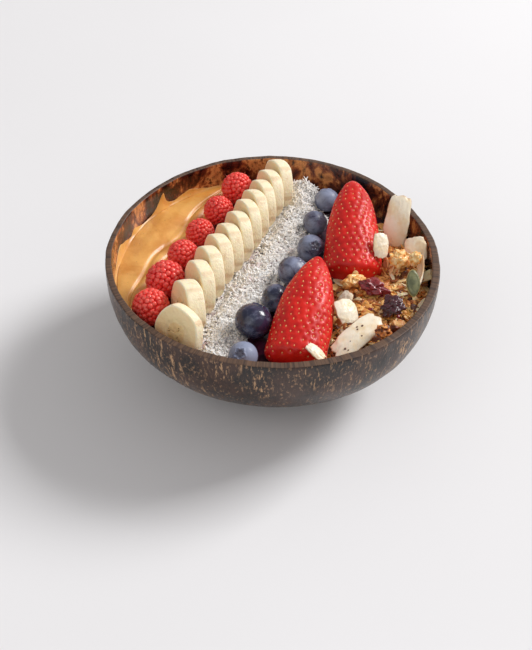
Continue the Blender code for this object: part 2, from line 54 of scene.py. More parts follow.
def tone(red, green, blue):
    # a swatch, given 0 to 255 for each part
    return tuple(((part / 255 + 0.055) / 1.055) ** 2.4 for part in (red, green, blue)) + (1.0,)


def put(tree, kind, inputs=None, **settings):
    made = tree.nodes.new(kind)
    for key, value in settings.items():
        setattr(made, key, value)
    for key, value in (inputs or {}).items():
        if isinstance(value, bpy.types.NodeSocket):
            tree.links.new(value, made.inputs[key])
        else:
            made.inputs[key].default_value = value
    return made


def newFinish(name, **plain):
    # a material with its shader; plain values go straight to the shader's sockets
    finish = bpy.data.materials.new(name)
    finish.use_nodes = True
    tree = finish.node_tree
    shader = tree.nodes["Principled BSDF"]
    for key, value in plain.items():
        shader.inputs[key.replace("_", " ")].default_value = value
    return finish, tree, shader


def spot(tree):
    return put(tree, "ShaderNodeTexCoord").outputs["Object"]


def mark(tree, name):
    return put(tree, "ShaderNodeAttribute", attribute_name=name).outputs["Fac"]


def stretched(tree, place, x, y, z):
    return put(tree, "ShaderNodeVectorMath", {0: place, 1: (x, y, z)},
               operation="MULTIPLY").outputs[0]


def grain(tree, place, scale, detail=3.0, rough=0.55, twist=0.0):
    return put(tree, "ShaderNodeTexNoise", {
        "Vector": place, "Scale": scale, "Detail": detail, "Roughness": rough,
        "Distortion": twist}).outputs["Fac"]


def ramp(tree, share, *stops):
    made = put(tree, "ShaderNodeValToRGB", {"Fac": share})
    line = made.color_ramp.elements
    while len(line) < len(stops):
        line.new(1.0)
    for element, (place, colour) in zip(line, stops):
        element.position = place
        element.color = colour
    return made.outputs["Color"]


def step(tree, share, low, high):
    # 0 below low, 1 above high
    return put(tree, "ShaderNodeMapRange", {"Value": share, "From Min": low, "From Max": high},
               interpolation_type="SMOOTHSTEP").outputs["Result"]


def sums(tree, way, first, second):
    return put(tree, "ShaderNodeMath", {0: first, 1: second}, operation=way).outputs[0]


def mixed(tree, share, first, second, way="MIX"):
    return put(tree, "ShaderNodeMix", {0: share, 6: first, 7: second},
               data_type="RGBA", blend_type=way).outputs[2]


def colourIn(tree, shader, colour):
    tree.links.new(colour, shader.inputs["Base Color"])


def roughIn(tree, shader, share, low, high):
    made = put(tree, "ShaderNodeMapRange", {"Value": share, "To Min": low, "To Max": high})
    tree.links.new(made.outputs["Result"], shader.inputs["Roughness"])


def reliefIn(tree, shader, height, strength, depth):
    made = put(tree, "ShaderNodeBump", {"Height": height, "Strength": strength, "Distance": depth})
    tree.links.new(made.outputs["Normal"], shader.inputs["Normal"])


# Mesh helpers

def newHeap():
    return {"points": [], "faces": [], "tint": [], "edge": [], "count": 0}


def addShape(heap, points, faces, tint=0.5, edge=0.0):
    # tint and edge are one number, or one for each point
    points = np.asarray(points, float)
    start = heap["count"]
    heap["points"].append(points)
    heap["faces"] += [tuple(start + i for i in face) for face in faces]
    heap["tint"].append(np.broadcast_to(np.asarray(tint, float), len(points)))
    heap["edge"].append(np.broadcast_to(np.asarray(edge, float), len(points)))
    heap["count"] += len(points)


def makePiece(name, heap, finish, standsFor=(), smooth=True):
    mesh = bpy.data.meshes.new(name)
    points = np.concatenate(heap["points"])
    mesh.from_pydata(points.tolist(), [], heap["faces"])
    for key in ("tint", "edge"):
        values = np.concatenate(heap[key]).astype(np.float32)
        mesh.attributes.new(key, "FLOAT", "POINT").data.foreach_set("value", values)
    if smooth:
        mesh.shade_smooth()
    mesh.materials.append(finish)
    piece = bpy.data.objects.new(name, mesh)
    scene.collection.objects.link(piece)
    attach(piece, "root")
    if standsFor:
        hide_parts(*standsFor)
    return piece


def sheetFaces(rows, cols, wrap=False, start=0):
    span = cols if wrap else cols - 1
    return [(start + r * cols + c, start + r * cols + (c + 1) % cols,
             start + (r + 1) * cols + (c + 1) % cols, start + (r + 1) * cols + c)
            for r in range(rows - 1) for c in range(span)]


def closedTube(rings):
    # rings of points, with a point at each end; shape rows x cols x 3
    rows, cols = rings.shape[:2]
    points = np.vstack([rings.reshape(-1, 3), rings[0].mean(0), rings[-1].mean(0)])
    faces = sheetFaces(rows, cols, wrap=True)
    first, last = rows * cols, rows * cols + 1
    top = (rows - 1) * cols
    for c in range(cols):
        d = (c + 1) % cols
        faces.append((first, d, c))
        faces.append((last, top + c, top + d))
    return points, faces


def ball(rows, cols, radiusAt):
    # round body about z; radiusAt(polar, angle) gives arrays of (radius, height)
    polar = np.linspace(0.0, math.pi, rows + 2)[1:-1][:, None] * np.ones((1, cols))
    angle = np.linspace(0.0, full, cols, endpoint=False)[None, :] * np.ones((rows, 1))
    radius, height = radiusAt(polar, angle)
    rings = np.stack([radius * np.cos(angle), radius * np.sin(angle), height], axis=-1)
    return closedTube(rings[::-1])


def bead(rows, cols):
    return ball(rows, cols, lambda p, a: (np.sin(p), np.cos(p)))


def slab(top, under):
    # closed body between two sheets of the same size
    rows, cols = top.shape[:2]
    half = rows * cols
    points = np.vstack([top.reshape(-1, 3), under.reshape(-1, 3)])
    faces = sheetFaces(rows, cols)
    faces += [tuple(reversed(face)) for face in sheetFaces(rows, cols, start=half)]
    edge = list(range(cols)) + [r * cols + cols - 1 for r in range(1, rows)]
    edge += [(rows - 1) * cols + c for c in range(cols - 2, -1, -1)]
    edge += [r * cols for r in range(rows - 2, 0, -1)]
    for i, j in zip(edge, edge[1:] + edge[:1]):
        faces.append((j, i, half + i, half + j))
    return points, faces


def wave(points, scale, seed=0.0, octaves=1):
    # smooth noise from -1 to 1 at each point
    shift = Vector((seed * 3.1, seed * 1.7, seed * 2.3))
    flat = np.asarray(points, float).reshape(-1, 3)
    total = np.zeros(len(flat))
    for k in range(octaves):
        size = scale * 2.0 ** k
        total += [noise.noise(Vector(p) * size + shift) * 0.5 ** k for p in flat]
    return total.reshape(np.asarray(points).shape[:-1])


def turned(points, turn):
    return np.asarray(points) @ np.array(turn.to_3x3()).T


def layShape(heap, points, faces, turn, place, tint=0.5, edge=0.0):
    # the shape turned about its own middle, then set down at a place
    addShape(heap, turned(points, turn) + np.array(place), faces, tint, edge)


def angles(x, y, z):
    return Euler((math.radians(x), math.radians(y), math.radians(z))).to_matrix()


def seat(name, turn):
    # middle and size of a CAD node, measured along a piece's own axes
    points = np.array([v.co for v in nodes[name].data.vertices])
    local = points @ np.array(turn)
    low, high = local.min(0), local.max(0)
    return np.array(turn) @ ((low + high) / 2.0), high - low


def treeOf(*names):
    points, faces = [], []
    for name in names:
        mesh = nodes[name].data
        start = len(points)
        points += [v.co.copy() for v in mesh.vertices]
        faces += [tuple(start + i for i in f.vertices) for f in mesh.polygons]
    return BVHTree.FromPolygons(points, faces)


def numbered(stem, count):
    return [f"{stem}_{i + 1}" for i in range(count)]


# Rows run this way across the bowl

rowTurn = math.radians(21)
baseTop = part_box("smoothie_base")[1].z


def rowPlace(across, along):
    x = across * math.cos(rowTurn) + along * math.sin(rowTurn)
    y = along * math.cos(rowTurn) - across * math.sin(rowTurn)
    return x, y


# Coconut shell

shell = {
    "around": 288, "outerSteps": 60, "innerSteps": 40,
    "radius": 0.0775, "foot": 0.020, "wall": 0.0032, "wallChange": 0.0006,
    "thickSide": math.radians(-60), "floor": 0.0045, "innerFloor": 0.017,
    "round": 1.4, "fullness": 2.9, "lobes": 3, "lobeDepth": 0.0108, "lobeTurn": 1.238,
    "rimRound": 0.0008, "fibreRise": 0.00013, "dentRise": 0.00030, "rimWear": 0.00022,
    "dark": tone(22, 13, 10), "brown": tone(66, 42, 32), "fleck": tone(212, 168, 124),
    "paintedSheen": tone(84, 60, 49), "cut": tone(104, 76, 56), "cutDark": tone(56, 38, 30),
    "innerDark": tone(30, 12, 8), "innerRed": tone(92, 40, 24), "innerTan": tone(216, 146, 86),
    "innerRust": tone(152, 84, 46), "innerPale": tone(150, 88, 50), "pit": tone(166, 128, 94),
}
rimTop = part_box("coconut_shell_bowl")[1].z


def lobe(angle):
    return 1.0 - shell["lobeDepth"] * np.cos(shell["lobes"] * angle - shell["lobeTurn"])


def sideRadius(depth, top, foot):
    share = 1.0 - (foot / top) ** shell["round"]
    return top * (1.0 - share * depth ** shell["fullness"]) ** (1.0 / shell["round"])


def outerRadius(angle, z):
    return sideRadius((rimTop - z) / rimTop, shell["radius"], shell["foot"]) * lobe(angle)


def innerRadius(angle, z):
    depth = np.clip((rimTop - z) / (rimTop - shell["floor"]), 0.0, 1.0)
    plain = sideRadius(depth, shell["radius"] - shell["wall"], shell["innerFloor"])
    return plain * lobe(angle) - shell["wallChange"] * np.cos(angle - shell["thickSide"])


def shellFinish():
    finish, tree, shader = newFinish("polishedCoconutShell", Coat_Weight=0.08, Coat_Roughness=0.3)
    place = put(tree, "ShaderNodeAttribute", attribute_name="shellPlace").outputs["Vector"]
    inside = step(tree, mark(tree, "tint"), 0.4, 0.6)
    rim = step(tree, mark(tree, "edge"), 0.35, 0.65)
    # outside: dark, with mid-brown clouds, tan streaks along the fibres and a greyer painted sheen
    # for the polish, in fine patches
    clouds = grain(tree, stretched(tree, place, 5, 5, 5), 1.0, 4, 0.6)
    fibres = grain(tree, stretched(tree, place, 50, 50, 11), 1.0, 5, 0.70)
    fine = grain(tree, stretched(tree, place, 120, 120, 22), 1.0, 3, 0.6)
    skin = mixed(tree, step(tree, clouds, 0.40, 0.66), shell["dark"], shell["brown"])
    skin = mixed(tree, sums(tree, "MULTIPLY", step(tree, fine, 0.45, 0.7), 0.45),
                 skin, shell["paintedSheen"])
    patch = step(tree, grain(tree, stretched(tree, place, 4.2, 4.2, 3.0), 1.0, 2, 0.5), 0.40, 0.60)
    streak = sums(tree, "MULTIPLY", step(tree, fibres, 0.55, 0.63), patch)
    streak = sums(tree, "MULTIPLY", streak, 0.80)
    skin = mixed(tree, streak, skin, shell["fleck"])
    pits = step(tree, grain(tree, stretched(tree, place, 55, 55, 34), 1.0, 3, 0.6), 0.56, 0.66)
    skin = mixed(tree, sums(tree, "MULTIPLY", pits, 0.65), skin, shell["pit"])
    # inside: lacquered, red-brown with tan mottling where the pale lining stays on
    blot = grain(tree, stretched(tree, place, 6.5, 6.5, 7.5), 1.0, 6, 0.66, 0.35)
    lining = ramp(tree, blot, (0.42, shell["innerDark"]), (0.50, shell["innerRed"]),
                  (0.55, shell["innerRust"]), (0.60, shell["innerTan"]), (0.74, shell["innerPale"]))
    veins = grain(tree, stretched(tree, place, 30, 30, 26), 1.0, 4, 0.6)
    lining = mixed(tree, step(tree, veins, 0.50, 0.72), lining, shell["innerDark"])
    cut = mixed(tree, step(tree, grain(tree, stretched(tree, place, 70, 70, 70), 1.0, 4, 0.7),
                           0.35, 0.65), shell["cutDark"], shell["cut"])
    colour = mixed(tree, inside, skin, lining)
    colourIn(tree, shader, mixed(tree, rim, colour, cut))
    lacquer = sums(tree, "MULTIPLY", inside, 0.5)
    gloss = sums(tree, "SUBTRACT", sums(tree, "ADD", fibres, rim), lacquer)
    roughIn(tree, shader, gloss, 0.14, 0.62)
    height = sums(tree, "ADD", fibres, sums(tree, "MULTIPLY", fine, 0.5))
    reliefIn(tree, shader, height, 0.35, 0.0004)
    return finish


def buildShell():
    angle = np.linspace(0.0, full, shell["around"], endpoint=False)
    rows, tints, edges, runs = [], [], [], []

    def addRow(radius, z, tint, edge, run):
        rows.append(np.stack([radius * np.cos(angle), radius * np.sin(angle), z + 0 * angle], -1))
        tints.append(np.full(len(angle), tint))
        edges.append(np.full(len(angle), edge))
        runs.append(run)

    for share in (0.15, 0.4, 0.7):
        addRow(shell["foot"] * share * lobe(angle), 0.0, 0.0, 0.0, 2.0 - share * 0.26)
    top = rimTop - shell["rimRound"]
    run = 1.7
    before = None
    for k in range(shell["outerSteps"] + 1):
        z = top * (k / shell["outerSteps"]) ** 1.8
        radius = outerRadius(angle, z)
        if before is not None:
            run -= math.hypot(radius[0] - before[0], z - before[1]) / shell["radius"]
        before = (radius[0], z)
        addRow(radius, z, 0.0, 0.0, run)
    outer, inner = outerRadius(angle, rimTop), innerRadius(angle, rimTop)
    bend = shell["rimRound"]
    for share in (0.35, 0.75, 1.0):
        lift = math.sin(share * math.pi / 2.0)
        addRow(outer - bend * (1.0 - math.cos(share * math.pi / 2.0)), top + bend * lift,
               0.0, share, run)
    for share in (0.3, 0.5, 0.7):
        addRow(outer + (inner - outer) * share, rimTop, 0.0, 1.0, run)
    for share in (0.0, 0.45, 1.0):
        lift = math.cos(share * math.pi / 2.0)
        addRow(inner + bend * 0.7 * (1.0 - math.sin(share * math.pi / 2.0)), top + bend * lift,
               share, 1.0 - share, run)
    for k in range(1, shell["innerSteps"] + 1):
        z = shell["floor"] + (top - shell["floor"]) * (1.0 - k / shell["innerSteps"]) ** 1.8
        run += 0.02
        addRow(innerRadius(angle, z), z, 1.0, 0.0, run)
    rings = np.array(rows)
    place = np.stack([np.cos(angle)[None, :] + np.zeros(rings.shape[:2]),
                      np.sin(angle)[None, :] + np.zeros(rings.shape[:2]),
                      np.array(runs)[:, None] + np.zeros(rings.shape[:2])], -1)
    # fine fibre ridges and shallow dents, which fade out under the foot
    ridge = wave(place * np.array((26.0, 26.0, 3.0)), 1.0) * shell["fibreRise"]
    dent = wave(rings, 62.0, 2.0, 2) * shell["dentRise"]
    standing = np.clip(rings[..., 2] / 0.004, 0.0, 1.0)
    outward = rings.copy()
    outward[..., 2] = 0.0
    outward /= np.maximum(np.linalg.norm(outward, axis=-1, keepdims=True), 1e-6)
    rings += outward * ((ridge + dent) * standing)[..., None]
    wear = wave(place * np.array((14.0, 14.0, 0.0)), 1.0, 5.0, 3) * shell["rimWear"]
    rings[..., 2] += wear * np.clip(np.array(edges) * 1.5, 0.0, 1.0) - np.array(edges) * 0.0002
    points, faces = closedTube(rings)
    heap = newHeap()
    ends = [0.0, 1.0]
    addShape(heap, points, faces, np.concatenate([np.array(tints).ravel(), ends]),
             np.concatenate([np.array(edges).ravel(), [0.0, 0.0]]))
    piece = makePiece("coconutShell", heap, shellFinish(), ["coconut_shell_bowl"])
    values = np.vstack([place.reshape(-1, 3), [[0, 0, 2.0], [0, 0, 2.0]]]).astype(np.float32)
    spots = piece.data.attributes.new("shellPlace", "FLOAT_VECTOR", "POINT")
    spots.data.foreach_set("vector", values.ravel())
    print("shell done")


# Smoothie

smoothie = {
    "around": 160, "steps": 46, "lump": 0.00045, "wallReach": 0.0004,
    "deep": tone(44, 14, 30), "berry": tone(92, 34, 62), "seed": tone(30, 12, 16),
}


def smoothieFinish():
    finish, tree, shader = newFinish("berrySmoothie", Subsurface_Weight=0.15,
                                     Subsurface_Scale=0.002, Coat_Weight=0.3)
    place = spot(tree)
    cloud = grain(tree, place, 240, 4, 0.6)
    speck = step(tree, grain(tree, place, 1300, 2, 0.5), 0.66, 0.72)
    colour = mixed(tree, step(tree, cloud, 0.38, 0.66), smoothie["deep"], smoothie["berry"])
    colourIn(tree, shader, mixed(tree, speck, colour, smoothie["seed"]))
    roughIn(tree, shader, cloud, 0.22, 0.5)
    reliefIn(tree, shader, cloud, 0.5, 0.0006)
    return finish


def buildSmoothie():
    angle = np.linspace(0.0, full, smoothie["around"], endpoint=False)
    rows = []
    for k in range(12):
        z = shell["floor"] + 0.0003 + (baseTop - 0.0006 - shell["floor"]) * (k / 11) ** 1.6
        radius = innerRadius(angle, z) + smoothie["wallReach"] * 0.5
        rows.append(np.stack([radius * np.cos(angle), radius * np.sin(angle), z + 0 * angle], -1))
    rim = innerRadius(angle, baseTop) + smoothie["wallReach"]
    for k in range(smoothie["steps"]):
        radius = rim * (1.0 - (k + 0.2) / smoothie["steps"])
        flat = np.stack([radius * np.cos(angle), radius * np.sin(angle), baseTop + 0 * angle], -1)
        flat[:, 2] += wave(flat, 130.0, 1.0, 3) * smoothie["lump"]
        rows.append(flat)
    points, faces = closedTube(np.array(rows))
    heap = newHeap()
    addShape(heap, points, faces)
    makePiece("berrySmoothie", heap, smoothieFinish(), ["smoothie_base"])
    print("smoothie done")


# Nut butter, spread in the back-left corner and smeared a little up the shell

butter = {
    "front": -0.0560, "back": 0.0600, "rows": 200, "cols": 74, "climbCols": 14,
    "innerEdge": -0.0435, "level": 0.0462, "under": 0.0420,
    "crown": 0.0011, "fold": 0.0013, "foldAt": 0.60, "swirl": 0.0007,
    "smears": ((172, 0.10, 0.0040), (141, 0.055, 0.0066), (127, 0.10, 0.0030), (158, 0.05, 0.0026)),
    "smearThick": 0.0005, "edgeLift": 0.0006, "edgeFade": 0.0012,
    "caramel": tone(214, 146, 66), "light": tone(234, 176, 94), "speck": tone(128, 80, 34),
}


def butterFinish():
    finish, tree, shader = newFinish("glossyNutButter", Subsurface_Weight=0.18,
                                     Subsurface_Scale=0.003, Subsurface_Radius=(1.0, 0.5, 0.2),
                                     Coat_Weight=0.15, Coat_Roughness=0.2)
    place = spot(tree)
    cloud = grain(tree, place, 70, 4, 0.55, 0.5)
    colour = mixed(tree, step(tree, cloud, 0.36, 0.66), butter["caramel"], butter["light"])
    speck = step(tree, grain(tree, place, 850, 2, 0.5), 0.70, 0.76)
    colour = mixed(tree, sums(tree, "MULTIPLY", speck, 0.7), colour, butter["speck"])
    colourIn(tree, shader, colour)
    roughIn(tree, shader, grain(tree, place, 300, 2), 0.28, 0.50)
    reliefIn(tree, shader, grain(tree, place, 420, 4, 0.6), 0.35, 0.0004)
    return finish


def wallAcross(along, z):
    # where the shell's inner wall stands on the left, at this place along the rows
    radius = shell["radius"] - shell["wall"]
    for _ in range(4):
        across = -math.sqrt(max(radius ** 2 - along ** 2, 1e-8))
        x, y = rowPlace(across, along)
        radius = float(innerRadius(math.atan2(y, x), z))
    return across


def climbAt(angle):
    rise = 0.0004
    for degrees, wide, high in butter["smears"]:
        away = (angle - math.radians(degrees)) / wide
        rise += high * math.exp(-abs(away) ** 1.6)
    return rise


def buildButter():
    rows, cols, climb = butter["rows"], butter["cols"], butter["climbCols"]
    top = np.zeros((rows, cols + climb, 3))
    under = np.zeros_like(top)
    for r in range(rows):
        along = butter["front"] + (butter["back"] - butter["front"]) * r / (rows - 1)
        left = wallAcross(along, butter["level"]) + 0.0001
        x, y = rowPlace(left, along)
        angle = math.atan2(y, x) % full
        rise = climbAt(angle) * (1.0 + 0.5 * noise.noise(Vector((angle * 14.0, 0.0, 3.0))))
        for c in range(climb):
            share = 1.0 - c / climb
            z = butter["level"] + 0.0006 + rise * share
            spread = angle - rise * share * 4.0
            radius = float(innerRadius(spread, z)) + 0.0003
            thick = butter["smearThick"] * (1.2 - share) + 0.0009 * (1.0 - share) ** 3
            inner = radius - thick - 0.0003
            top[r, c] = (inner * math.cos(spread), inner * math.sin(spread), z - thick * 0.2)
            under[r, c] = (radius * math.cos(spread), radius * math.sin(spread), z)
        right = max(butter["innerEdge"], left + 0.0015)
        for c in range(cols):
            share = c / (cols - 1)
            across = left + (right - left) * share + 0.0009 * (1.0 - share) ** 6
            x, y = rowPlace(across, along)
            top[r, climb + c] = (x, y, butterHeight(across, left, along))
            under[r, climb + c] = (x, y, butter["under"])
    points, faces = slab(top, under)
    heap = newHeap()
    addShape(heap, points, faces)
    makePiece("nutButter", heap, butterFinish(), ["nut_butter"])
    print("nut butter done")


def butterHeight(across, left, along):
    # a broad smooth crown by the wall, then folds that run along the berries
    span = -0.0455 - left
    share = (across - left) / max(span, 0.004)
    opened = min(1.0, span / 0.016)
    meniscus = butter["edgeLift"] * math.exp(-(across - left) / butter["edgeFade"])
    over = min(max(share / butter["foldAt"], 0.0), 1.0)
    crown = butter["crown"] * math.sin(math.pi * over) ** 0.8
    bendy = butter["foldAt"] + 0.10 * math.sin(along * 60.0 + 0.8) + 0.05 * math.sin(along * 170.0)
    away = (share - bendy) / 0.11
    fold = butter["fold"] * (math.exp(-(away - 0.9) ** 2) - 0.9 * math.exp(-(away / 0.45) ** 2))
    second = (share - bendy - 0.26 - 0.04 * math.sin(along * 110.0)) / 0.07
    fold += butter["fold"] * 0.6 * (math.exp(-(second - 0.7) ** 2) - math.exp(-(second / 0.5) ** 2))
    place = Vector((across * 90.0, along * 34.0, 0.0))
    swirl = butter["swirl"] * noise.noise(place) + 0.4 * butter["swirl"] * noise.noise(place * 2.7)
    return butter["level"] + meniscus + (crown + fold + swirl) * opened


# Raspberries

raspberry = {
    "count": 6, "drupelets": 138, "bead": 0.185, "beadRise": 0.80, "taper": 0.16,
    "hairs": 46, "hairLength": 0.0016, "hairThick": 0.00009,
    # which way each tip points: lean in degrees and the side it leans to
    "tips": ((24, -60), (78, -150), (26, -110), (18, -40), (30, -95), (22, -70)),
    "ripeness": (0.40, 0.85, 0.45, 0.40, 0.45, 0.30),
    "red": tone(250, 58, 48), "ripe": tone(228, 36, 36), "hairAndTipHighlightPink": tone(255, 150, 130),
}


def raspberryFinish():
    finish, tree, shader = newFinish(
        "raspberryFlesh", Subsurface_Weight=0.40, Subsurface_Scale=0.0020,
        Subsurface_Radius=(1.0, 0.18, 0.12), Coat_Weight=0.10)
    tint = mark(tree, "tint")
    colour = ramp(tree, tint, (0.0, raspberry["red"]), (1.0, raspberry["ripe"]))
    # pale pink: the hairs' own colour, and on the outer tip of each drupelet a painted highlight
    bloom = step(tree, mark(tree, "edge"), 0.55, 1.0)
    tipHighlightAndHair = sums(tree, "MULTIPLY", bloom, step(tree, grain(tree, spot(tree), 900, 2), 0.3, 0.7))
    colour = mixed(tree, sums(tree, "MULTIPLY", tipHighlightAndHair, 0.42), colour, raspberry["hairAndTipHighlightPink"])
    colourIn(tree, shader, colour)
    roughIn(tree, shader, grain(tree, spot(tree), 700, 2), 0.25, 0.5)
    reliefIn(tree, shader, grain(tree, spot(tree), 2600, 2), 0.2, 0.0002)
    return finish


def fibonacciSphere(count):
    k = np.arange(count) + 0.5
    z = 1.0 - 2.0 * k / count
    angle = k * math.pi * (3.0 - math.sqrt(5.0))
    level = np.sqrt(1.0 - z * z)
    return np.stack([level * np.cos(angle), level * np.sin(angle), z], -1)


def facing(direction, spin=0.0):
    # rotation that takes z to the direction
    turn = Vector(direction).normalized().to_track_quat("Z", "Y").to_matrix()
    return turn @ Matrix.Rotation(spin, 3, "Z")


def hair(root, direction, length, thick, bend):
    # thin tapered bristle with three sides
    direction = Vector(direction).normalized()
    side = direction.orthogonal().normalized()
    other = direction.cross(side)
    rings = []
    for share, width in ((0.0, 1.0), (0.5, 0.8), (1.0, 0.35)):
        middle = Vector(root) + direction * length * share + Vector(bend) * share * share * length
        rings.append([middle + (side * math.cos(a) + other * math.sin(a)) * thick * width
                      for a in (0.0, full / 3.0, full * 2.0 / 3.0)])
    return closedTube(np.array(rings))


def buildRaspberry(index, finish):
    random.seed(100 + index)
    name = f"raspberry_{index + 1}"
    low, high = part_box(name)
    middle = np.array((low + high) / 2.0)
    size = np.array(high - low)
    wide = (size[0] + size[1]) / 2.0 * 0.965
    lean, way = (math.radians(d) for d in raspberry["tips"][index])
    turn = facing((math.sin(lean) * math.cos(way), math.sin(lean) * math.sin(way), math.cos(lean)),
                  index * 1.3)
    drupelet, drupeletFaces = bead(7, 12)
    heap = newHeap()
    half = 0.5 * wide * (1.0 - raspberry["bead"] * 0.55)

    def onBody(n):
        narrow = 1.06 - raspberry["taper"] * (n[2] + 1.0) / 2.0
        return np.array([n[0] * narrow, n[1] * narrow, n[2] * 1.02]) * half

    core, coreFaces = ball(12, 24, lambda p, a: (np.sin(p) * half, np.cos(p) * half))
    core = np.array([onBody(p / half * 0.98) for p in core])
    layShape(heap, core, coreFaces, turn, middle, 1.0, 0.0)
    for n in fibonacciSphere(raspberry["drupelets"]):
        n = n + np.array([random.uniform(-0.045, 0.045) for _ in range(3)])
        n /= np.linalg.norm(n)
        size = half * raspberry["bead"] * random.uniform(0.88, 1.12)
        size *= 0.86 + 0.20 * math.sqrt(max(0.0, 1.0 - n[2] ** 2))
        frameOf = facing(n, random.uniform(0, full))
        grown = drupelet * np.array((size, size, size * raspberry["beadRise"]))
        shape = turned(grown, frameOf) + onBody(n)
        ripe = min(1.0, max(0.0, raspberry["ripeness"][index] + random.uniform(-0.28, 0.28)))
        # outer tip of each drupelet, which the finish paints with a pink highlight
        outward = np.clip(drupelet[:, 2] * 0.5 + 0.5, 0.0, 1.0)
        layShape(heap, shape, drupeletFaces, turn, middle, ripe, outward)
    for n in fibonacciSphere(raspberry["hairs"]):
        if n[2] < -0.5:
            continue
        way = Vector(n) + Vector([random.uniform(-0.5, 0.5) for _ in range(3)])
        bend = [random.uniform(-0.5, 0.5) for _ in range(3)]
        root = onBody(n) * 1.08
        points, faces = hair(root, way, raspberry["hairLength"] * random.uniform(0.6, 1.1),
                             raspberry["hairThick"], bend)
        layShape(heap, points, faces, turn, middle, 0.15, 1.0)
    makePiece(f"raspberryFruit_{index + 1}", heap, finish, [name])


# Banana slices, standing on edge; the one at the front lies back

banana = {
    "count": 12, "around": 80, "turn": 23, "lean": 9, "slumpTurn": 50, "slumpLean": 20,
    "ridgeAt": math.radians(272), "ridge": 0.060, "faceRings": 16,
    "sideRows": 8, "seeds": 12, "seedLong": 0.00038, "sag": 0.00045,
    "side": tone(255, 240, 206), "shade": tone(238, 208, 152), "face": tone(250, 226, 176),
    "heart": tone(242, 208, 150), "seedBrown": tone(150, 112, 70), "ridgeTan": tone(206, 164, 116),
}


def bananaFinish():
    finish, tree, shader = newFinish("bananaFlesh", Subsurface_Weight=0.22, Subsurface_Scale=0.0022,
                                     Subsurface_Radius=(1.0, 0.70, 0.38))
    place = spot(tree)
    edge = mark(tree, "edge")  # 0 in the middle of a cut face, 1 at its rim, 1 to 2 over the side
    fleshy = ramp(tree, edge, (0.0, banana["heart"]), (0.36, banana["heart"]),
                  (0.42, banana["face"]), (0.90, banana["face"]), (1.0, banana["side"]))
    threads = grain(tree, stretched(tree, place, 1.0, 1.0, 0.16), 1500, 3, 0.6)
    stringy = mixed(tree, sums(tree, "MULTIPLY", step(tree, threads, 0.52, 0.72), 0.35),
                    banana["side"], banana["shade"])
    bruise = step(tree, grain(tree, place, 210, 3, 0.6), 0.56, 0.74)
    stringy = mixed(tree, sums(tree, "MULTIPLY", bruise, 0.40), stringy, banana["ridgeTan"])
    creases = grain(tree, stretched(tree, place, 0.25, 0.25, 1.0), 620, 2, 0.5)
    creased = sums(tree, "MULTIPLY", step(tree, creases, 0.58, 0.66), 0.22)
    stringy = mixed(tree, creased, stringy, banana["ridgeTan"])
    colour = mixed(tree, step(tree, edge, 1.0, 1.15), fleshy, stringy)
    marbled = step(tree, grain(tree, place, 520, 4, 0.6), 0.44, 0.70)
    colour = mixed(tree, sums(tree, "MULTIPLY", marbled, 0.18), colour, banana["shade"])
    crease = step(tree, mark(tree, "tint"), 0.70, 0.98)
    colour = mixed(tree, sums(tree, "MULTIPLY", crease, 0.45), colour, banana["ridgeTan"])
    seedy = step(tree, mark(tree, "tint"), 0.30, 0.12)
    colourIn(tree, shader, mixed(tree, seedy, colour, banana["seedBrown"]))
    roughIn(tree, shader, grain(tree, place, 600, 2), 0.34, 0.55)
    reliefIn(tree, shader, sums(tree, "ADD", threads, grain(tree, place, 900, 3)), 0.55, 0.0004)
    return finish


def sliceTurn(turn, lean):
    upright = Matrix.Rotation(math.pi / 2.0 + math.radians(lean), 3, "Y")
    return Matrix.Rotation(math.radians(turn), 3, "Z") @ upright


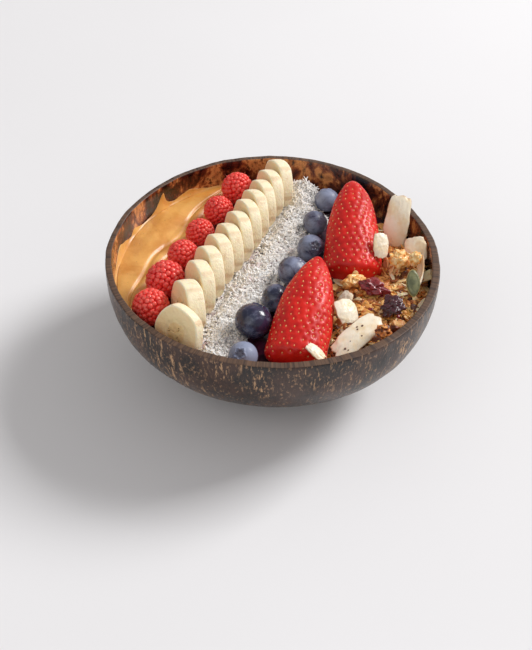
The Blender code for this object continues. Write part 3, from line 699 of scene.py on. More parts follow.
def buildBananaSlice(index, finish):
    random.seed(200 + index)
    name = f"banana_slice_{index + 1}"
    slump = index == 0
    turn = sliceTurn(banana["slumpTurn"] if slump else banana["turn"],
                     banana["slumpLean"] if slump else banana["lean"])
    middle, size = seat(name, turn)
    radius = (size[0] + size[1]) / 4.0 * 0.985
    half = size[2] / 2.0 * 0.97
    angle = np.linspace(0.0, full, banana["around"], endpoint=False)
    drift = random.uniform(-0.10, 0.10) + (0.5 if slump else 0.0)
    peak = 1.0 - np.abs(np.sin(2.5 * (angle - banana["ridgeAt"] - drift)))
    around = np.stack([np.cos(angle), np.sin(angle), 0 * angle], -1)
    outline = radius * (1.0 - banana["ridge"] * 0.55 + banana["ridge"] * peak)
    outline += wave(around * 1.0, 1.6, index + 1.0) * radius * 0.022
    profile = []  # (share of the radius, height, edge mark)
    for k in range(banana["faceRings"]):
        share = 0.04 + 0.88 * (k / (banana["faceRings"] - 1)) ** 0.9
        profile.append((share, -half * (0.99 - 0.02 * share), share))
    for share in (0.3, 0.65, 1.0):
        bend = math.sin(share * math.pi / 2.0)
        drop = math.cos(share * math.pi / 2.0)
        profile.append((0.94 + 0.06 * bend, -half * (0.80 + 0.18 * drop), 0.95 + share * 0.15))
    for k in range(1, banana["sideRows"]):
        share = k / banana["sideRows"]
        profile.append((1.0 + 0.012 * math.sin(math.pi * share), half * (1.6 * share - 0.8), 1.5))
    profile += [(a, -z, e) for a, z, e in reversed(profile[:banana["faceRings"] + 3])]
    rings, edges, tints = [], [], []
    for share, z, edge in profile:
        ring = around * outline[:, None] * share
        ring[:, 2] = z
        face = np.clip((0.97 - share) * 8.0, 0.0, 1.0)
        # three seed chambers show as shallow furrows from the middle of the cut
        furrow = np.exp(-((np.sin(1.5 * (angle + 0.6)) / 0.22) ** 2))
        furrow = furrow * math.exp(-(share / 0.42) ** 4)
        sink = -math.copysign(1.0, z) * banana["sag"] * face
        ring[:, 2] += sink * (0.7 * furrow + 0.5 * math.exp(-((share - 0.43) / 0.05) ** 2))
        ring[:, 2] += sink * 0.5 * wave(ring, 520.0, index + 2.0, 2)
        rings.append(ring)
        edges.append(np.full(len(angle), edge))
        onSide = 1.0 if edge > 1.05 else 0.0
        tints.append(0.5 + onSide * 0.5 * np.clip(peak * 1.5 - 0.5, 0, 1))
    rings = np.array(rings)
    cutPlane = wave(rings * np.array((1.0, 1.0, 0.0)), 90.0, index + 5.0)
    rings[..., 2] += cutPlane * 0.00025
    points, faces = closedTube(rings)
    heap = newHeap()
    layShape(heap, points, faces, turn, middle,
             np.concatenate([np.array(tints).ravel(), [0.5, 0.5]]),
             np.concatenate([np.array(edges).ravel(), [0.0, 0.0]]))
    seed, seedFaces = ball(4, 8, lambda p, a: (np.sin(p) * 0.55, np.cos(p)))
    for side in (-1.0, 1.0):
        for k in range(banana["seeds"]):
            chamber = (k % 3) * full / 3.0 - 0.6 + (0.13 if k % 2 else -0.13)
            reach = radius * (0.10 + 0.30 * random.random())
            way = chamber + random.uniform(-0.05, 0.05)
            spotAt = np.array([reach * math.cos(way), reach * math.sin(way), side * half * 0.955])
            grown = seed * banana["seedLong"] * random.uniform(0.7, 1.2)
            laid = turned(grown, facing((math.cos(way), math.sin(way), 0.15)))
            pressed = laid * np.array((1.0, 1.0, 0.45)) + spotAt
            layShape(heap, pressed, seedFaces, turn, middle, 0.0, 0.2)
    makePiece(f"bananaSlice_{index + 1}", heap, finish, [name])


# Blueberries

blueberry = {
    "count": 7, "rows": 56, "cols": 60, "dimple": 0.13, "crown": 0.075,
    # lean of each crown in degrees and the side it leans to, and how much bloom is left
    "crowns": ((38, -115), (52, 60), (64, -20), (48, 30), (40, -60), (58, 15), (46, 100)),
    "bloom": (0.80, 0.36, 0.44, 0.50, 0.54, 0.54, 0.64),
    "skin": tone(28, 32, 58), "violet": tone(62, 48, 76), "wax": tone(136, 144, 170),
    "calyx": tone(74, 66, 76),
}


def blueberryFinish():
    finish, tree, shader = newFinish("blueberrySkin", Coat_Weight=0.10, Coat_Roughness=0.2)
    place = spot(tree)
    bloom = mark(tree, "tint")
    cloud = grain(tree, place, 170, 5, 0.62, 0.4)
    rubbed = step(tree, sums(tree, "ADD", cloud, bloom), 0.78, 1.30)
    skin = mixed(tree, step(tree, grain(tree, place, 90, 3), 0.4, 0.7),
                 blueberry["skin"], blueberry["violet"])
    colour = mixed(tree, rubbed, skin, blueberry["wax"])
    speck = step(tree, grain(tree, place, 700, 3, 0.7), 0.63, 0.72)
    colour = mixed(tree, sums(tree, "MULTIPLY", speck, 0.5), colour, blueberry["skin"])
    crown = step(tree, mark(tree, "edge"), 0.35, 0.8)
    crown = sums(tree, "MULTIPLY", crown, 0.6)
    colourIn(tree, shader, mixed(tree, crown, colour, blueberry["calyx"]))
    roughIn(tree, shader, rubbed, 0.20, 0.62)
    reliefIn(tree, shader, sums(tree, "ADD", cloud, grain(tree, place, 1400, 2)), 0.12, 0.0003)
    return finish


def buildBlueberry(index, finish):
    name = f"blueberry_{index + 1}"
    low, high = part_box(name)
    middle = np.array((low + high) / 2.0)
    size = np.array(high - low)
    wide = size.max() * 0.5 * 0.99
    lean, way = (math.radians(d) for d in blueberry["crowns"][index])
    turn = facing((math.sin(lean) * math.cos(way), math.sin(lean) * math.sin(way), math.cos(lean)),
                  index * 0.9)

    def skin(polar, angle):
        away = np.degrees(polar)
        lip = 21.0 + 4.5 * np.cos(5.0 * angle) ** 3
        rise = blueberry["crown"] * np.exp(-((away - lip) / 3.4) ** 2)
        rise -= blueberry["dimple"] / (1.0 + np.exp((away - lip + 4.5) / 1.6))
        rise += 0.02 * np.exp(-(away / 3.0) ** 2)
        out = np.stack([np.sin(polar) * np.cos(angle), np.sin(polar) * np.sin(angle),
                        np.cos(polar)], -1)
        body = 1.0 + rise + 0.012 * wave(out, 1.3, index + 1.0) + 0.005 * wave(out, 5.0, index)
        return wide * body * np.sin(polar), wide * 0.93 * body * np.cos(polar)

    points, faces = ball(blueberry["rows"], blueberry["cols"], skin)
    polar = np.arccos(np.clip(points[:, 2] / np.linalg.norm(points, axis=1), -1.0, 1.0))
    crown = np.exp(-(np.degrees(polar) / 21.0) ** 4)
    heap = newHeap()
    layShape(heap, points, faces, turn, middle, blueberry["bloom"][index], crown)
    makePiece(f"blueberryFruit_{index + 1}", heap, finish, [name])


# Strawberry halves, cut face down

strawberry = {
    "turns": ((22.0, 4.0, 1.0), (20.9, -3.0, -13.0)), "stations": 150, "across": 96,
    "flatRows": 14, "seedGap": 0.0036, "dip": 0.00052, "dipWide": 0.00095,
    "seedLong": 0.00046, "seedWide": 0.00027, "uneven": 0.040,
    "seedDeep": 0.00032,
    "red": tone(220, 30, 18), "deep": tone(190, 14, 12), "flesh": tone(244, 176, 150),
    "fleshRed": tone(236, 120, 96),
    "seed": tone(236, 176, 116), "tipRed": tone(236, 66, 40),
}


def strawberryFinish():
    finish, tree, shader = newFinish(
        "glossyStrawberry", Subsurface_Weight=0.18, Subsurface_Scale=0.0020,
        Subsurface_Radius=(1.0, 0.12, 0.08), Coat_Weight=0.14, Coat_Roughness=0.12,
        Specular_IOR_Level=0.30)
    place = spot(tree)
    cloud = grain(tree, place, 85, 4, 0.6)
    skin = mixed(tree, step(tree, cloud, 0.36, 0.66), strawberry["red"], strawberry["deep"])
    ring = step(tree, mark(tree, "tint"), 0.70, 0.98)  # paler round each seed
    skin = mixed(tree, sums(tree, "MULTIPLY", ring, 0.45), skin, strawberry["tipRed"])
    flush = step(tree, grain(tree, place, 240, 4, 0.65), 0.52, 0.72)
    skin = mixed(tree, sums(tree, "MULTIPLY", flush, 0.35), skin, strawberry["tipRed"])
    cut = step(tree, mark(tree, "edge"), 0.3, 0.7)
    fleshy = mixed(tree, step(tree, grain(tree, place, 260, 4), 0.35, 0.65),
                   strawberry["flesh"], strawberry["fleshRed"])
    colour = mixed(tree, cut, skin, fleshy)
    seedy = step(tree, mark(tree, "tint"), 0.30, 0.12)
    colourIn(tree, shader, mixed(tree, seedy, colour, strawberry["seed"]))
    roughIn(tree, shader, grain(tree, place, 420, 3), 0.30, 0.62)
    reliefIn(tree, shader, grain(tree, place, 620, 4, 0.6), 0.35, 0.0004)
    return finish


def berryWidth(share):
    # half width along the berry, blunt at the calyx end and drawn out to the tip
    blunt = np.sqrt(1.0 - np.maximum(0.0, 1.0 - share / 0.12) ** 2)
    return (1.0 - share ** 3.0) ** 0.68 * blunt


def buildStrawberry(index, finish):
    random.seed(300 + index)
    name = f"strawberry_half_{index + 1}"
    turn = angles(*strawberry["turns"][index])
    middle, size = seat(name, turn)
    long, wide, deep = size[1], size[0], size[2]
    share = 0.004 + 0.990 * (0.5 - 0.5 * np.cos(np.linspace(0.0, math.pi, strawberry["stations"])))
    arch = np.linspace(0.0, math.pi, strawberry["across"])
    width = berryWidth(share)
    width = width / width.max()
    x = 0.5 * wide * width[:, None] * np.cos(arch)[None, :]
    z = deep * (width ** 0.9)[:, None] * np.sin(arch)[None, :] ** 0.86 - deep / 2.0
    y = long * (share[:, None] - 0.5) / 0.98 + 0.0 * x
    skin = np.stack([x, y, z], -1)
    lumps = wave(skin, 75.0, index + 1.0, 2)
    skin *= (1.0 + strawberry["uneven"] * lumps)[..., None]
    # seeds sit in staggered rows, each in its own dimple
    seeds = []
    rowsOf = int(long / (strawberry["seedGap"] * 0.80))
    for r in range(1, rowsOf):
        station = r / rowsOf
        arc = math.pi * 0.5 * (wide * 0.5 + deep) * float(np.interp(station, share, width))
        count = max(2, int(arc / strawberry["seedGap"]))
        for k in range(count):
            a = (k + 0.5 + 0.5 * (r % 2) - 0.25 + random.uniform(-0.16, 0.16)) / count
            s = station + random.uniform(-0.010, 0.010)
            row = int(np.clip(np.searchsorted(share, s), 0, len(share) - 1))
            col = int(np.clip(a * (len(arch) - 1), 2, len(arch) - 3))
            if 0.05 < a < 0.95:
                seeds.append((row, col))
    flat = skin.reshape(-1, 3)
    steps = np.gradient(skin, axis=0), np.gradient(skin, axis=1)
    normal = np.cross(steps[0], steps[1])
    normal /= np.maximum(np.linalg.norm(normal, axis=-1, keepdims=True), 1e-12)
    if normal[len(share) // 2, len(arch) // 2, 2] < 0.0:
        normal = -normal
    depth = np.zeros(len(flat))
    for row, col in seeds:
        away = np.linalg.norm(flat - skin[row, col], axis=1)
        depth = np.maximum(depth, np.exp(-(away / strawberry["dipWide"]) ** 2))
    dented = skin - normal * (depth.reshape(skin.shape[:2]) * strawberry["dip"])[..., None]
    # cut face, closed from one edge of the skin to the other
    left, right = dented[:, 0], dented[:, -1]
    shares = np.linspace(0.0, 1.0, strawberry["flatRows"] + 2)[1:-1]
    cut = np.stack([right * (1.0 - s) + left * s for s in shares], 1)
    rings = np.concatenate([dented, cut], 1)
    points, faces = closedTube(rings)
    tint = np.full(rings.shape[:2], 0.5)
    tint[:, :len(arch)] += 0.5 * depth.reshape(skin.shape[:2])
    edge = np.zeros(rings.shape[:2])
    edge[:, len(arch):] = 1.0
    edge[:, :2] = 0.6
    edge[:, len(arch) - 2:len(arch)] = 0.6
    heap = newHeap()
    layShape(heap, points, faces, turn, middle,
             np.concatenate([tint.ravel(), [0.5, 0.5]]), np.concatenate([edge.ravel(), [0.6, 0.6]]))
    seed, seedFaces = bead(5, 9)
    for row, col in seeds:
        out = Vector(normal[row, col])
        forward = Vector((0.0, 1.0, 0.0))
        side = out.cross(forward).normalized()
        forward = side.cross(out).normalized()
        lay = np.array([side, forward, out])
        size = random.uniform(0.85, 1.15)
        axes = (strawberry["seedWide"], strawberry["seedLong"], strawberry["seedDeep"])
        grown = seed * np.array(axes) * size
        at = skin[row, col] - np.array(out) * strawberry["dip"] * 0.72
        layShape(heap, grown @ lay + at, seedFaces, turn, middle, 0.0, 0.0)
    makePiece(f"strawberryHalf_{index + 1}", heap, finish, [name])


# Loose things on a heap

def unitChunk():
    corners = np.array([(x, y, z) for z in (-1, 1) for y in (-1, 1) for x in (-1, 1)], float)
    faces = [(0, 2, 3, 1), (4, 5, 7, 6), (0, 1, 5, 4), (2, 6, 7, 3), (0, 4, 6, 2), (1, 3, 7, 5)]
    return corners, faces


def topOf(tree, x, y):
    place, normal, _, _ = tree.ray_cast(Vector((x, y, 0.12)), Vector((0.0, 0.0, -1.0)))
    return place, normal


def isInside(tree, place, room=0.0):
    # within one of the pieces, or nearer to one than the room asked for
    near, normal, _, away = tree.find_nearest(Vector(place))
    return (Vector(place) - near).dot(normal) < 0.0 or away < room


def restingPlace(heapTree, others, x, y, plan, room=0.0):
    # on the heap, or on the low skirt that spreads out between its neighbours
    if math.hypot(x, y) > float(innerRadius(math.atan2(y, x), baseTop + 0.004)) - plan["wallGap"]:
        return None, None
    place, normal = topOf(heapTree, x, y)
    if place is None:
        away = heapTree.find_nearest(Vector((x, y, baseTop + 0.002)))[3]
        if away > plan["reach"]:
            return None, None
        lift = plan["skirt"] * (1.0 - away / plan["reach"]) + 0.0004
        place, normal = Vector((x, y, baseTop + lift)), Vector((0.0, 0.0, 1.0))
    if isInside(others, place, room):
        return None, None
    return place, normal


def heapCore(heapTree, plan, name, finish, standsFor):
    # the heap's own top lowered a little, so that the loose things lie on it
    top = []
    for along in np.arange(plan["front"], plan["back"], plan["pitch"]):
        line = np.arange(plan["left"], plan["right"], plan["pitch"])
        hits = [a for a in line if topOf(heapTree, *rowPlace(a, along))[0] is not None]
        if len(hits) < 4:
            continue
        row = []
        for across in np.linspace(hits[0], hits[-1], plan["columns"]):
            x, y = rowPlace(across, along)
            place = topOf(heapTree, x, y)[0]
            z = place.z - plan["sink"] if place is not None else baseTop
            row.append((x, y, max(z, baseTop - 0.0002)))
        row[0] = (*row[0][:2], baseTop - 0.0004)
        row[-1] = (*row[-1][:2], baseTop - 0.0004)
        top.append(row)
    top = np.array(top)
    top[:, 1:-1, 2] += (wave(top, plan["lumpScale"], 3.0, 3) * plan["lump"])[:, 1:-1]
    under = top.copy()
    under[..., 2] = baseTop - 0.0010
    points, faces = slab(top, under)
    heap = newHeap()
    tint = plan["coreTint"] + 0.25 * wave(points, 260.0, 8.0, 2)
    addShape(heap, points, faces, np.clip(tint, 0.02, 0.98), 0.0)
    makePiece(name, heap, finish, standsFor)


def lifted(place, height):
    return place + Vector((0.0, 0.0, height))


def scatterTurn(normal, tilt):
    # lying on the slope, turned at random and tipped by up to the tilt
    side = [random.uniform(-tilt, tilt) for _ in range(3)]
    return facing(Vector(normal) + Vector(side), random.uniform(0.0, full))


# Shredded coconut: a low core under fine flakes, longer shreds and dark specks

coconut = {
    "front": -0.070, "back": 0.074, "left": -0.026, "right": 0.016, "pitch": 0.0009,
    "columns": 34, "sink": 0.0010, "lump": 0.0007, "lumpScale": 420.0, "coreTint": 0.88,
    "reach": 0.0050, "skirt": 0.0030, "wallGap": 0.0010,
    "flakes": 7000, "flakeLong": 0.00108, "shreds": 1700, "shredLong": 0.0034,
    "fluffyFrom": 0.026, "fluffyLong": 0.0052, "specks": 190, "speck": 0.00026,
    "white": tone(255, 251, 247), "cream": tone(246, 236, 230), "stain": tone(178, 136, 150),
    "husk": tone(58, 34, 36),
}


def coconutFinish():
    finish, tree, shader = newFinish("shreddedCoconut", Subsurface_Weight=0.60,
                                     Subsurface_Scale=0.0020,
                                     Subsurface_Radius=(1.0, 0.92, 0.88), Roughness=0.6)
    colour = ramp(tree, mark(tree, "tint"), (0.0, coconut["husk"]), (0.12, coconut["husk"]),
                  (0.22, coconut["stain"]), (0.50, coconut["cream"]), (0.80, coconut["white"]))
    soak = step(tree, grain(tree, spot(tree), 190, 4, 0.6), 0.54, 0.72)
    soak = sums(tree, "MULTIPLY", soak, 0.25)
    colourIn(tree, shader, mixed(tree, soak, colour, coconut["stain"]))
    reliefIn(tree, shader, grain(tree, spot(tree), 1800, 3), 0.3, 0.0003)
    return finish


def shred(length, wide, bend):
    rings = []
    for share in np.linspace(-0.5, 0.5, 5):
        taper = 1.0 - 1.1 * abs(share) ** 1.5
        middle = np.array((bend * share * share * length, share * length, 0.0))
        ring = [middle + np.array((x * wide * taper, 0.0, z * wide * 0.45 * taper))
                for x, z in ((-1, -0.6), (1, -1), (1, 0.6), (-1, 1))]
        rings.append(ring)
    return closedTube(np.array(rings))


def buildCoconut():
    random.seed(400)
    heapTree = treeOf("shredded_coconut")
    others = treeOf(*numbered("banana_slice", banana["count"]),
                    *numbered("blueberry", blueberry["count"]),
                    *numbered("strawberry_half", len(strawberry["turns"])))
    finish = coconutFinish()
    heapCore(heapTree, coconut, "coconutCore", finish, ["shredded_coconut"])
    heap = newHeap()
    chunk, chunkFaces = unitChunk()

    def somewhere(low, high):
        across = random.uniform(coconut["left"], coconut["right"])
        along = random.uniform(low, high)
        place, normal = restingPlace(heapTree, others, *rowPlace(across, along), coconut)
        return place, normal, along

    made = {"flakes": 0, "shreds": 0, "specks": 0}
    while made["flakes"] < coconut["flakes"]:
        place, normal, along = somewhere(coconut["front"], coconut["back"])
        if place is None:
            continue
        made["flakes"] += 1
        size = coconut["flakeLong"] * random.uniform(0.6, 1.35)
        shape = chunk * np.array((size * random.uniform(0.35, 0.7), size, size * 0.28))
        shape = shape * (1.0 + 0.25 * np.sin(np.arange(8) * 2.4 + made["flakes"])[:, None])
        soaked = noise.noise(place * 150.0) + 0.35 * noise.noise(place * 420.0)
        soaked -= 0.35 * max(0.0, along - 0.02) / 0.02
        tint = random.uniform(0.66, 1.0) - (0.62 * soaked if soaked > 0.18 else 0.0)
        place = lifted(place, random.uniform(-0.0012, 0.0005))
        layShape(heap, shape, chunkFaces, scatterTurn(normal, 0.9), place, min(max(tint, 0.2), 1.0))
    while made["shreds"] < coconut["shreds"]:
        fluffy = made["shreds"] % 2 == 0
        low = coconut["fluffyFrom"] if fluffy else coconut["front"]
        place, normal, along = somewhere(low, coconut["back"])
        if place is None:
            continue
        made["shreds"] += 1
        length = coconut["fluffyLong"] if fluffy else coconut["shredLong"]
        length *= random.uniform(0.55, 1.2)
        points, faces = shred(length, random.uniform(0.00022, 0.00042), random.uniform(-0.9, 0.9))
        place = lifted(place, random.uniform(0.0, 0.0016 if fluffy else 0.0005))
        if isInside(others, place, 0.0006):
            continue
        turn = scatterTurn(normal, 0.75 if fluffy else 0.45)
        layShape(heap, points, faces, turn, place, random.uniform(0.7, 1.0))
    while made["specks"] < coconut["specks"]:
        place, normal, along = somewhere(coconut["front"], coconut["back"])
        if place is None or noise.noise(place * 110.0) < -0.15:
            continue
        made["specks"] += 1
        size = coconut["speck"] * random.uniform(0.6, 1.4)
        shape = chunk * np.array((size * 0.7, size, size * 0.5))
        layShape(heap, shape, chunkFaces, scatterTurn(normal, 1.0), lifted(place, 0.0007),
                 random.uniform(0.0, 0.14))
    makePiece("coconutShreds", heap, finish, smooth=False)
    print("coconut done")


# Granola: a low core under oat flakes, crumbs, almond slivers and golden kernels

granola = {
    "front": -0.060, "back": 0.058, "left": 0.012, "right": 0.076, "pitch": 0.0012,
    # the core's low tint makes it dark brown: partly toasted granola, partly painted shade in the
    # gaps between the loose pieces
    "columns": 60, "sink": 0.0012, "lump": 0.0012, "lumpScale": 230.0, "coreTint": 0.25,
    "reach": 0.0070, "skirt": 0.0040, "wallGap": 0.0012,
    "oats": 640, "oatLong": 0.0078, "crumbs": 1500, "crumb": 0.00066, "kernels": 85,
    "kernel": 0.0016, "redBits": 7, "redBit": 0.0015,
    "shavings": 24, "shavingLong": 0.0110, "shavingThick": 0.0009, "shavingLift": 0.0016,
    "pale": tone(255, 226, 170), "gold": tone(250, 184, 98), "brown": tone(206, 122, 56),
    "dark": tone(96, 46, 24), "toastedAndGapShade": tone(60, 28, 18),
    "kernelGold": tone(218, 158, 82), "kernelBrown": tone(168, 100, 46),
    "nutPale": tone(244, 226, 190), "nutWarm": tone(222, 184, 128), "nutSkin": tone(150, 88, 46),
}


def granolaFinish():
    finish, tree, shader = newFinish("bakedOats", Subsurface_Weight=0.12,
                                     Subsurface_Scale=0.0014, Coat_Weight=0.12)
    place = spot(tree)
    colour = ramp(tree, mark(tree, "tint"), (0.0, granola["toastedAndGapShade"]), (0.22, granola["dark"]),
                  (0.45, granola["brown"]), (0.68, granola["gold"]), (1.0, granola["pale"]))
    brown = step(tree, grain(tree, place, 420, 4, 0.65), 0.50, 0.70)
    colour = mixed(tree, sums(tree, "MULTIPLY", brown, 0.45), colour, granola["brown"])
    edge = step(tree, mark(tree, "edge"), 0.55, 1.0)
    colourIn(tree, shader, mixed(tree, sums(tree, "MULTIPLY", edge, 0.5), colour, granola["dark"]))
    roughIn(tree, shader, grain(tree, place, 800, 2), 0.35, 0.62)
    reliefIn(tree, shader, grain(tree, place, 1500, 4, 0.65), 0.5, 0.0004)
    return finish


def oatFlake(unit, long, thick, curl, seed):
    # rolled oat: an oval with a crease down one side and a slightly curled edge
    wide = long * (0.62 + 0.12 * math.sin(seed))
    across, down = unit[:, 0], unit[:, 1]
    shape = unit * np.array((wide / 2.0, long / 2.0, thick / 2.0))
    ragged = 1.0 + 0.10 * np.sin(3.0 * np.arctan2(down, across) + seed)
    shape[:, :2] *= ragged[:, None]
    shape[:, 2] += curl * long * (across ** 2 * 0.6 + down ** 2 * math.sin(seed * 1.7))
    shape[:, 2] -= thick * 0.35 * np.exp(-(across / 0.16) ** 2)
    return shape


def flatUnit(rings, around):
    return ball(rings, around, lambda p, a: (np.sin(p) ** 0.6, np.cos(p)))


def fromMiddle(unit):
    # 0 in the middle of a flat shape, 1 at its rim
    return np.clip(np.hypot(unit[:, 0], unit[:, 1]), 0.0, 1.0)


def buildGranola():
    random.seed(500)
    heapTree = treeOf("granola")
    small = [name for name in nodes if name.startswith(("coconut_chip", "oat_cluster", "dried_"))]
    others = treeOf(*small, "almond_piece", "pumpkin_seed",
                    *numbered("strawberry_half", len(strawberry["turns"])))
    finish = granolaFinish()
    heapCore(heapTree, granola, "granolaCore", finish, ["granola"])
    unit, unitFaces = flatUnit(5, 14)
    kernel, kernelFaces = bead(6, 10)
    chunk, chunkFaces = unitChunk()
    heap = newHeap()

    def somewhere(room=0.0):
        while True:
            across = random.uniform(granola["left"], granola["right"])
            along = random.uniform(granola["front"], granola["back"])
            place, normal = restingPlace(heapTree, others, *rowPlace(across, along), granola, room)
            if place is not None:
                return place, normal

    for k in range(granola["oats"]):
        place, normal = somewhere(0.0006)
        long = granola["oatLong"] * random.uniform(0.62, 1.1)
        shape = oatFlake(unit, long, long * 0.12, random.uniform(-0.10, 0.16), k * 1.37)
        tint = random.choice((0.22, 0.40, 0.55, 0.66, 0.74, 0.92)) + random.uniform(-0.06, 0.06)
        place = lifted(place, random.uniform(-0.0014, 0.0006))
        rim = fromMiddle(unit) ** 3 * random.uniform(0.4, 1.0)
        layShape(heap, shape, unitFaces, scatterTurn(normal, 0.55), place, tint, rim)
    for k in range(granola["crumbs"]):
        place, normal = somewhere()
        size = granola["crumb"] * random.uniform(0.5, 1.5)
        shape = chunk * np.array((size, size * random.uniform(0.7, 1.4), size * 0.7))
        shape = shape * (1.0 + 0.3 * np.sin(np.arange(8) * 1.9 + k)[:, None])
        layShape(heap, shape, chunkFaces, scatterTurn(normal, 1.0), place,
                 random.triangular(0.1, 1.0, 0.5))
    makePiece("granolaOats", heap, finish)
    heap = newHeap()
    for k in range(granola["kernels"]):
        place, normal = somewhere(0.0008)
        size = granola["kernel"] * random.uniform(0.55, 1.15)
        shape = kernel * np.array((size * 0.72, size, size * 0.62))
        shape += 0.2 * size * wave(kernel, 1.5, k)[:, None]
        layShape(heap, shape, kernelFaces, scatterTurn(normal, 0.6), place,
                 random.uniform(0.55, 0.8), 0.0)
    makePiece("goldenKernels", heap, kernelFinish())
    heap = newHeap()
    for k in range(granola["shavings"]):
        place, normal = somewhere(0.0012)
        long = granola["shavingLong"] * random.uniform(0.5, 1.15)
        shape = oatFlake(unit, long, granola["shavingThick"], random.uniform(0.02, 0.06), k * 0.9)
        shape[:, 0] *= random.choice((0.30, 0.42, 0.9))
        place = lifted(place, granola["shavingLift"])
        layShape(heap, shape, unitFaces, scatterTurn(normal, 0.45), place,
                 random.uniform(0.7, 1.0), fromMiddle(unit) ** 6)
    makePiece("almondSlivers", heap, sliverFinish())
    heap = newHeap()
    for k in range(granola["redBits"]):
        place, normal = somewhere(0.0008)
        size = granola["redBit"] * random.uniform(0.6, 1.2)
        shape = kernel * np.array((size, size * 1.4, size * 0.7))
        shape *= (1.0 + 0.35 * wave(kernel, 1.8, k))[:, None]
        layShape(heap, shape, kernelFaces, scatterTurn(normal, 0.6), lifted(place, 0.0006), 0.3)
    makePiece("cranberryBits", heap, cranberryFinish())
    print("granola done")


def kernelFinish():
    finish, tree, shader = newFinish("goldenKernel", Subsurface_Weight=0.2,
                                     Subsurface_Scale=0.0015, Coat_Weight=0.3)
    cloud = grain(tree, spot(tree), 380, 4, 0.6)
    colourIn(tree, shader, mixed(tree, step(tree, cloud, 0.4, 0.66),
                                 granola["kernelGold"], granola["kernelBrown"]))
    roughIn(tree, shader, cloud, 0.25, 0.5)
    reliefIn(tree, shader, grain(tree, spot(tree), 1300, 3), 0.4, 0.0003)
    return finish


def sliverFinish():
    finish, tree, shader = newFinish("almondSliver", Subsurface_Weight=0.2,
                                     Subsurface_Scale=0.0015, Roughness=0.5)
    cloud = grain(tree, spot(tree), 300, 4, 0.6)
    colour = mixed(tree, step(tree, cloud, 0.4, 0.7), granola["nutPale"], granola["nutWarm"])
    skin = sums(tree, "MULTIPLY", step(tree, mark(tree, "edge"), 0.55, 0.9), 0.75)
    colourIn(tree, shader, mixed(tree, skin, colour, granola["nutSkin"]))
    reliefIn(tree, shader, grain(tree, spot(tree), 1600, 3), 0.3, 0.0003)
    return finish


# Toasted coconut chips

chip = {
    # length, width, bend, ragged edge and turn of each
    "pieces": (
        (0.0260, 0.0118, 0.9, 1.0, (58, 0, -12)), (0.0120, 0.0110, 0.5, 2.0, (48, -22, -10)),
        (0.0240, 0.0095, 0.33, 3.0, (0, 106, -10)), (0.0120, 0.0080, 0.5, 5.0, (45, 15, 15)),
        (0.0100, 0.0065, 0.4, 7.7, (40, 0, -38)), (0.0120, 0.0105, 0.9, 8.8, (30, 8, 30)),
        (0.0270, 0.0115, 0.35, 9.9, (16, 10, -44)), (0.0095, 0.0062, 0.4, 6.6, (20, 10, 55))),
    "thick": 0.0009, "rows": 52, "cols": 28, "ragged": 0.10, "chipped": 0.035,
    "spotted": 6, "spots": 7, "cup": 0.00072, "ripple": 0.00022,
    "cream": tone(250, 238, 216), "warm": tone(240, 216, 176), "toast": tone(186, 134, 82),
    "scorch": tone(104, 66, 46),
}


def chipFinish():
    finish, tree, shader = newFinish("toastedCoconutChip", Subsurface_Weight=0.14,
                                     Subsurface_Scale=0.0012,
                                     Subsurface_Radius=(1.0, 0.85, 0.7), Roughness=0.38)
    place = spot(tree)
    cloud = grain(tree, place, 160, 4, 0.6)
    colour = mixed(tree, step(tree, cloud, 0.40, 0.68), chip["cream"], chip["warm"])
    fibres = grain(tree, stretched(tree, place, 1.0, 0.25, 1.0), 1400, 3, 0.6)
    strands = sums(tree, "MULTIPLY", step(tree, fibres, 0.5, 0.7), 0.20)
    colour = mixed(tree, strands, colour, chip["warm"])
    edge = step(tree, sums(tree, "ADD", mark(tree, "edge"), cloud), 1.10, 1.55)
    colour = mixed(tree, sums(tree, "MULTIPLY", edge, 0.75), colour, chip["toast"])
    dark = step(tree, mark(tree, "tint"), 0.30, 0.12)
    colourIn(tree, shader, mixed(tree, dark, colour, chip["scorch"]))
    reliefIn(tree, shader, sums(tree, "ADD", fibres, cloud), 0.3, 0.0003)
    return finish


def buildChip(index, finish):
    random.seed(600 + index)
    length, width, bend, seed, turn = chip["pieces"][index]
    name = f"coconut_chip_{index + 1}"
    turn = angles(*turn)
    middle, size = seat(name, turn)
    curve = bend / length
    sheets = []
    u, v = np.meshgrid(np.linspace(-1.0, 1.0, chip["cols"]), np.linspace(-1.0, 1.0, chip["rows"]))
    flat = np.stack([u * 2.0, v * 2.0, seed + 0.0 * u], -1)
    ragged = chip["ragged"] * wave(flat, 1.0)
    nicks = chip["chipped"] * wave(flat, 1.7, seed, 2) * np.maximum(np.abs(u), np.abs(v)) ** 4
    rim = np.maximum(np.abs(u), np.abs(v))
    for side in (1.0, -1.0):
        depth = side * 0.5 * chip["thick"] * (1.0 - 0.55 * rim ** 6)
        x = 0.5 * width * (u * (1.0 - 0.22 * v * v) + ragged + nicks)
        s = 0.5 * length * (v * (1.0 - 0.10 * u * u) + ragged + nicks)
        y = np.sin(s * curve) * (1.0 / curve + depth)
        z = np.cos(s * curve) * (1.0 / curve + depth) - 1.0 / curve - chip["cup"] * u * u
        z += chip["ripple"] * wave(flat, 1.6, seed + 4.0, 2)
        sheets.append(np.stack([x, y, z], -1))
    points, faces = slab(*sheets)
    shift = (points.min(0) + points.max(0)) / 2.0
    edge = np.concatenate([rim.ravel() ** 8] * 2)
    heap = newHeap()
    layShape(heap, points - shift, faces, turn, middle, 0.5, edge)
    if index == chip["spotted"]:
        spotty, spottyFaces = bead(5, 8)
        for _ in range(chip["spots"]):
            row = random.randrange(6, chip["rows"] - 6)
            col = random.randrange(5, chip["cols"] - 5)
            size = random.uniform(0.0003, 0.0008)
            at = sheets[0][row, col] - shift
            shape = spotty * np.array((size * 0.8, size, size * 0.45)) + at
            layShape(heap, shape, spottyFaces, turn, middle, 0.0)
    makePiece(f"coconutChip_{index + 1}", heap, finish, [name])


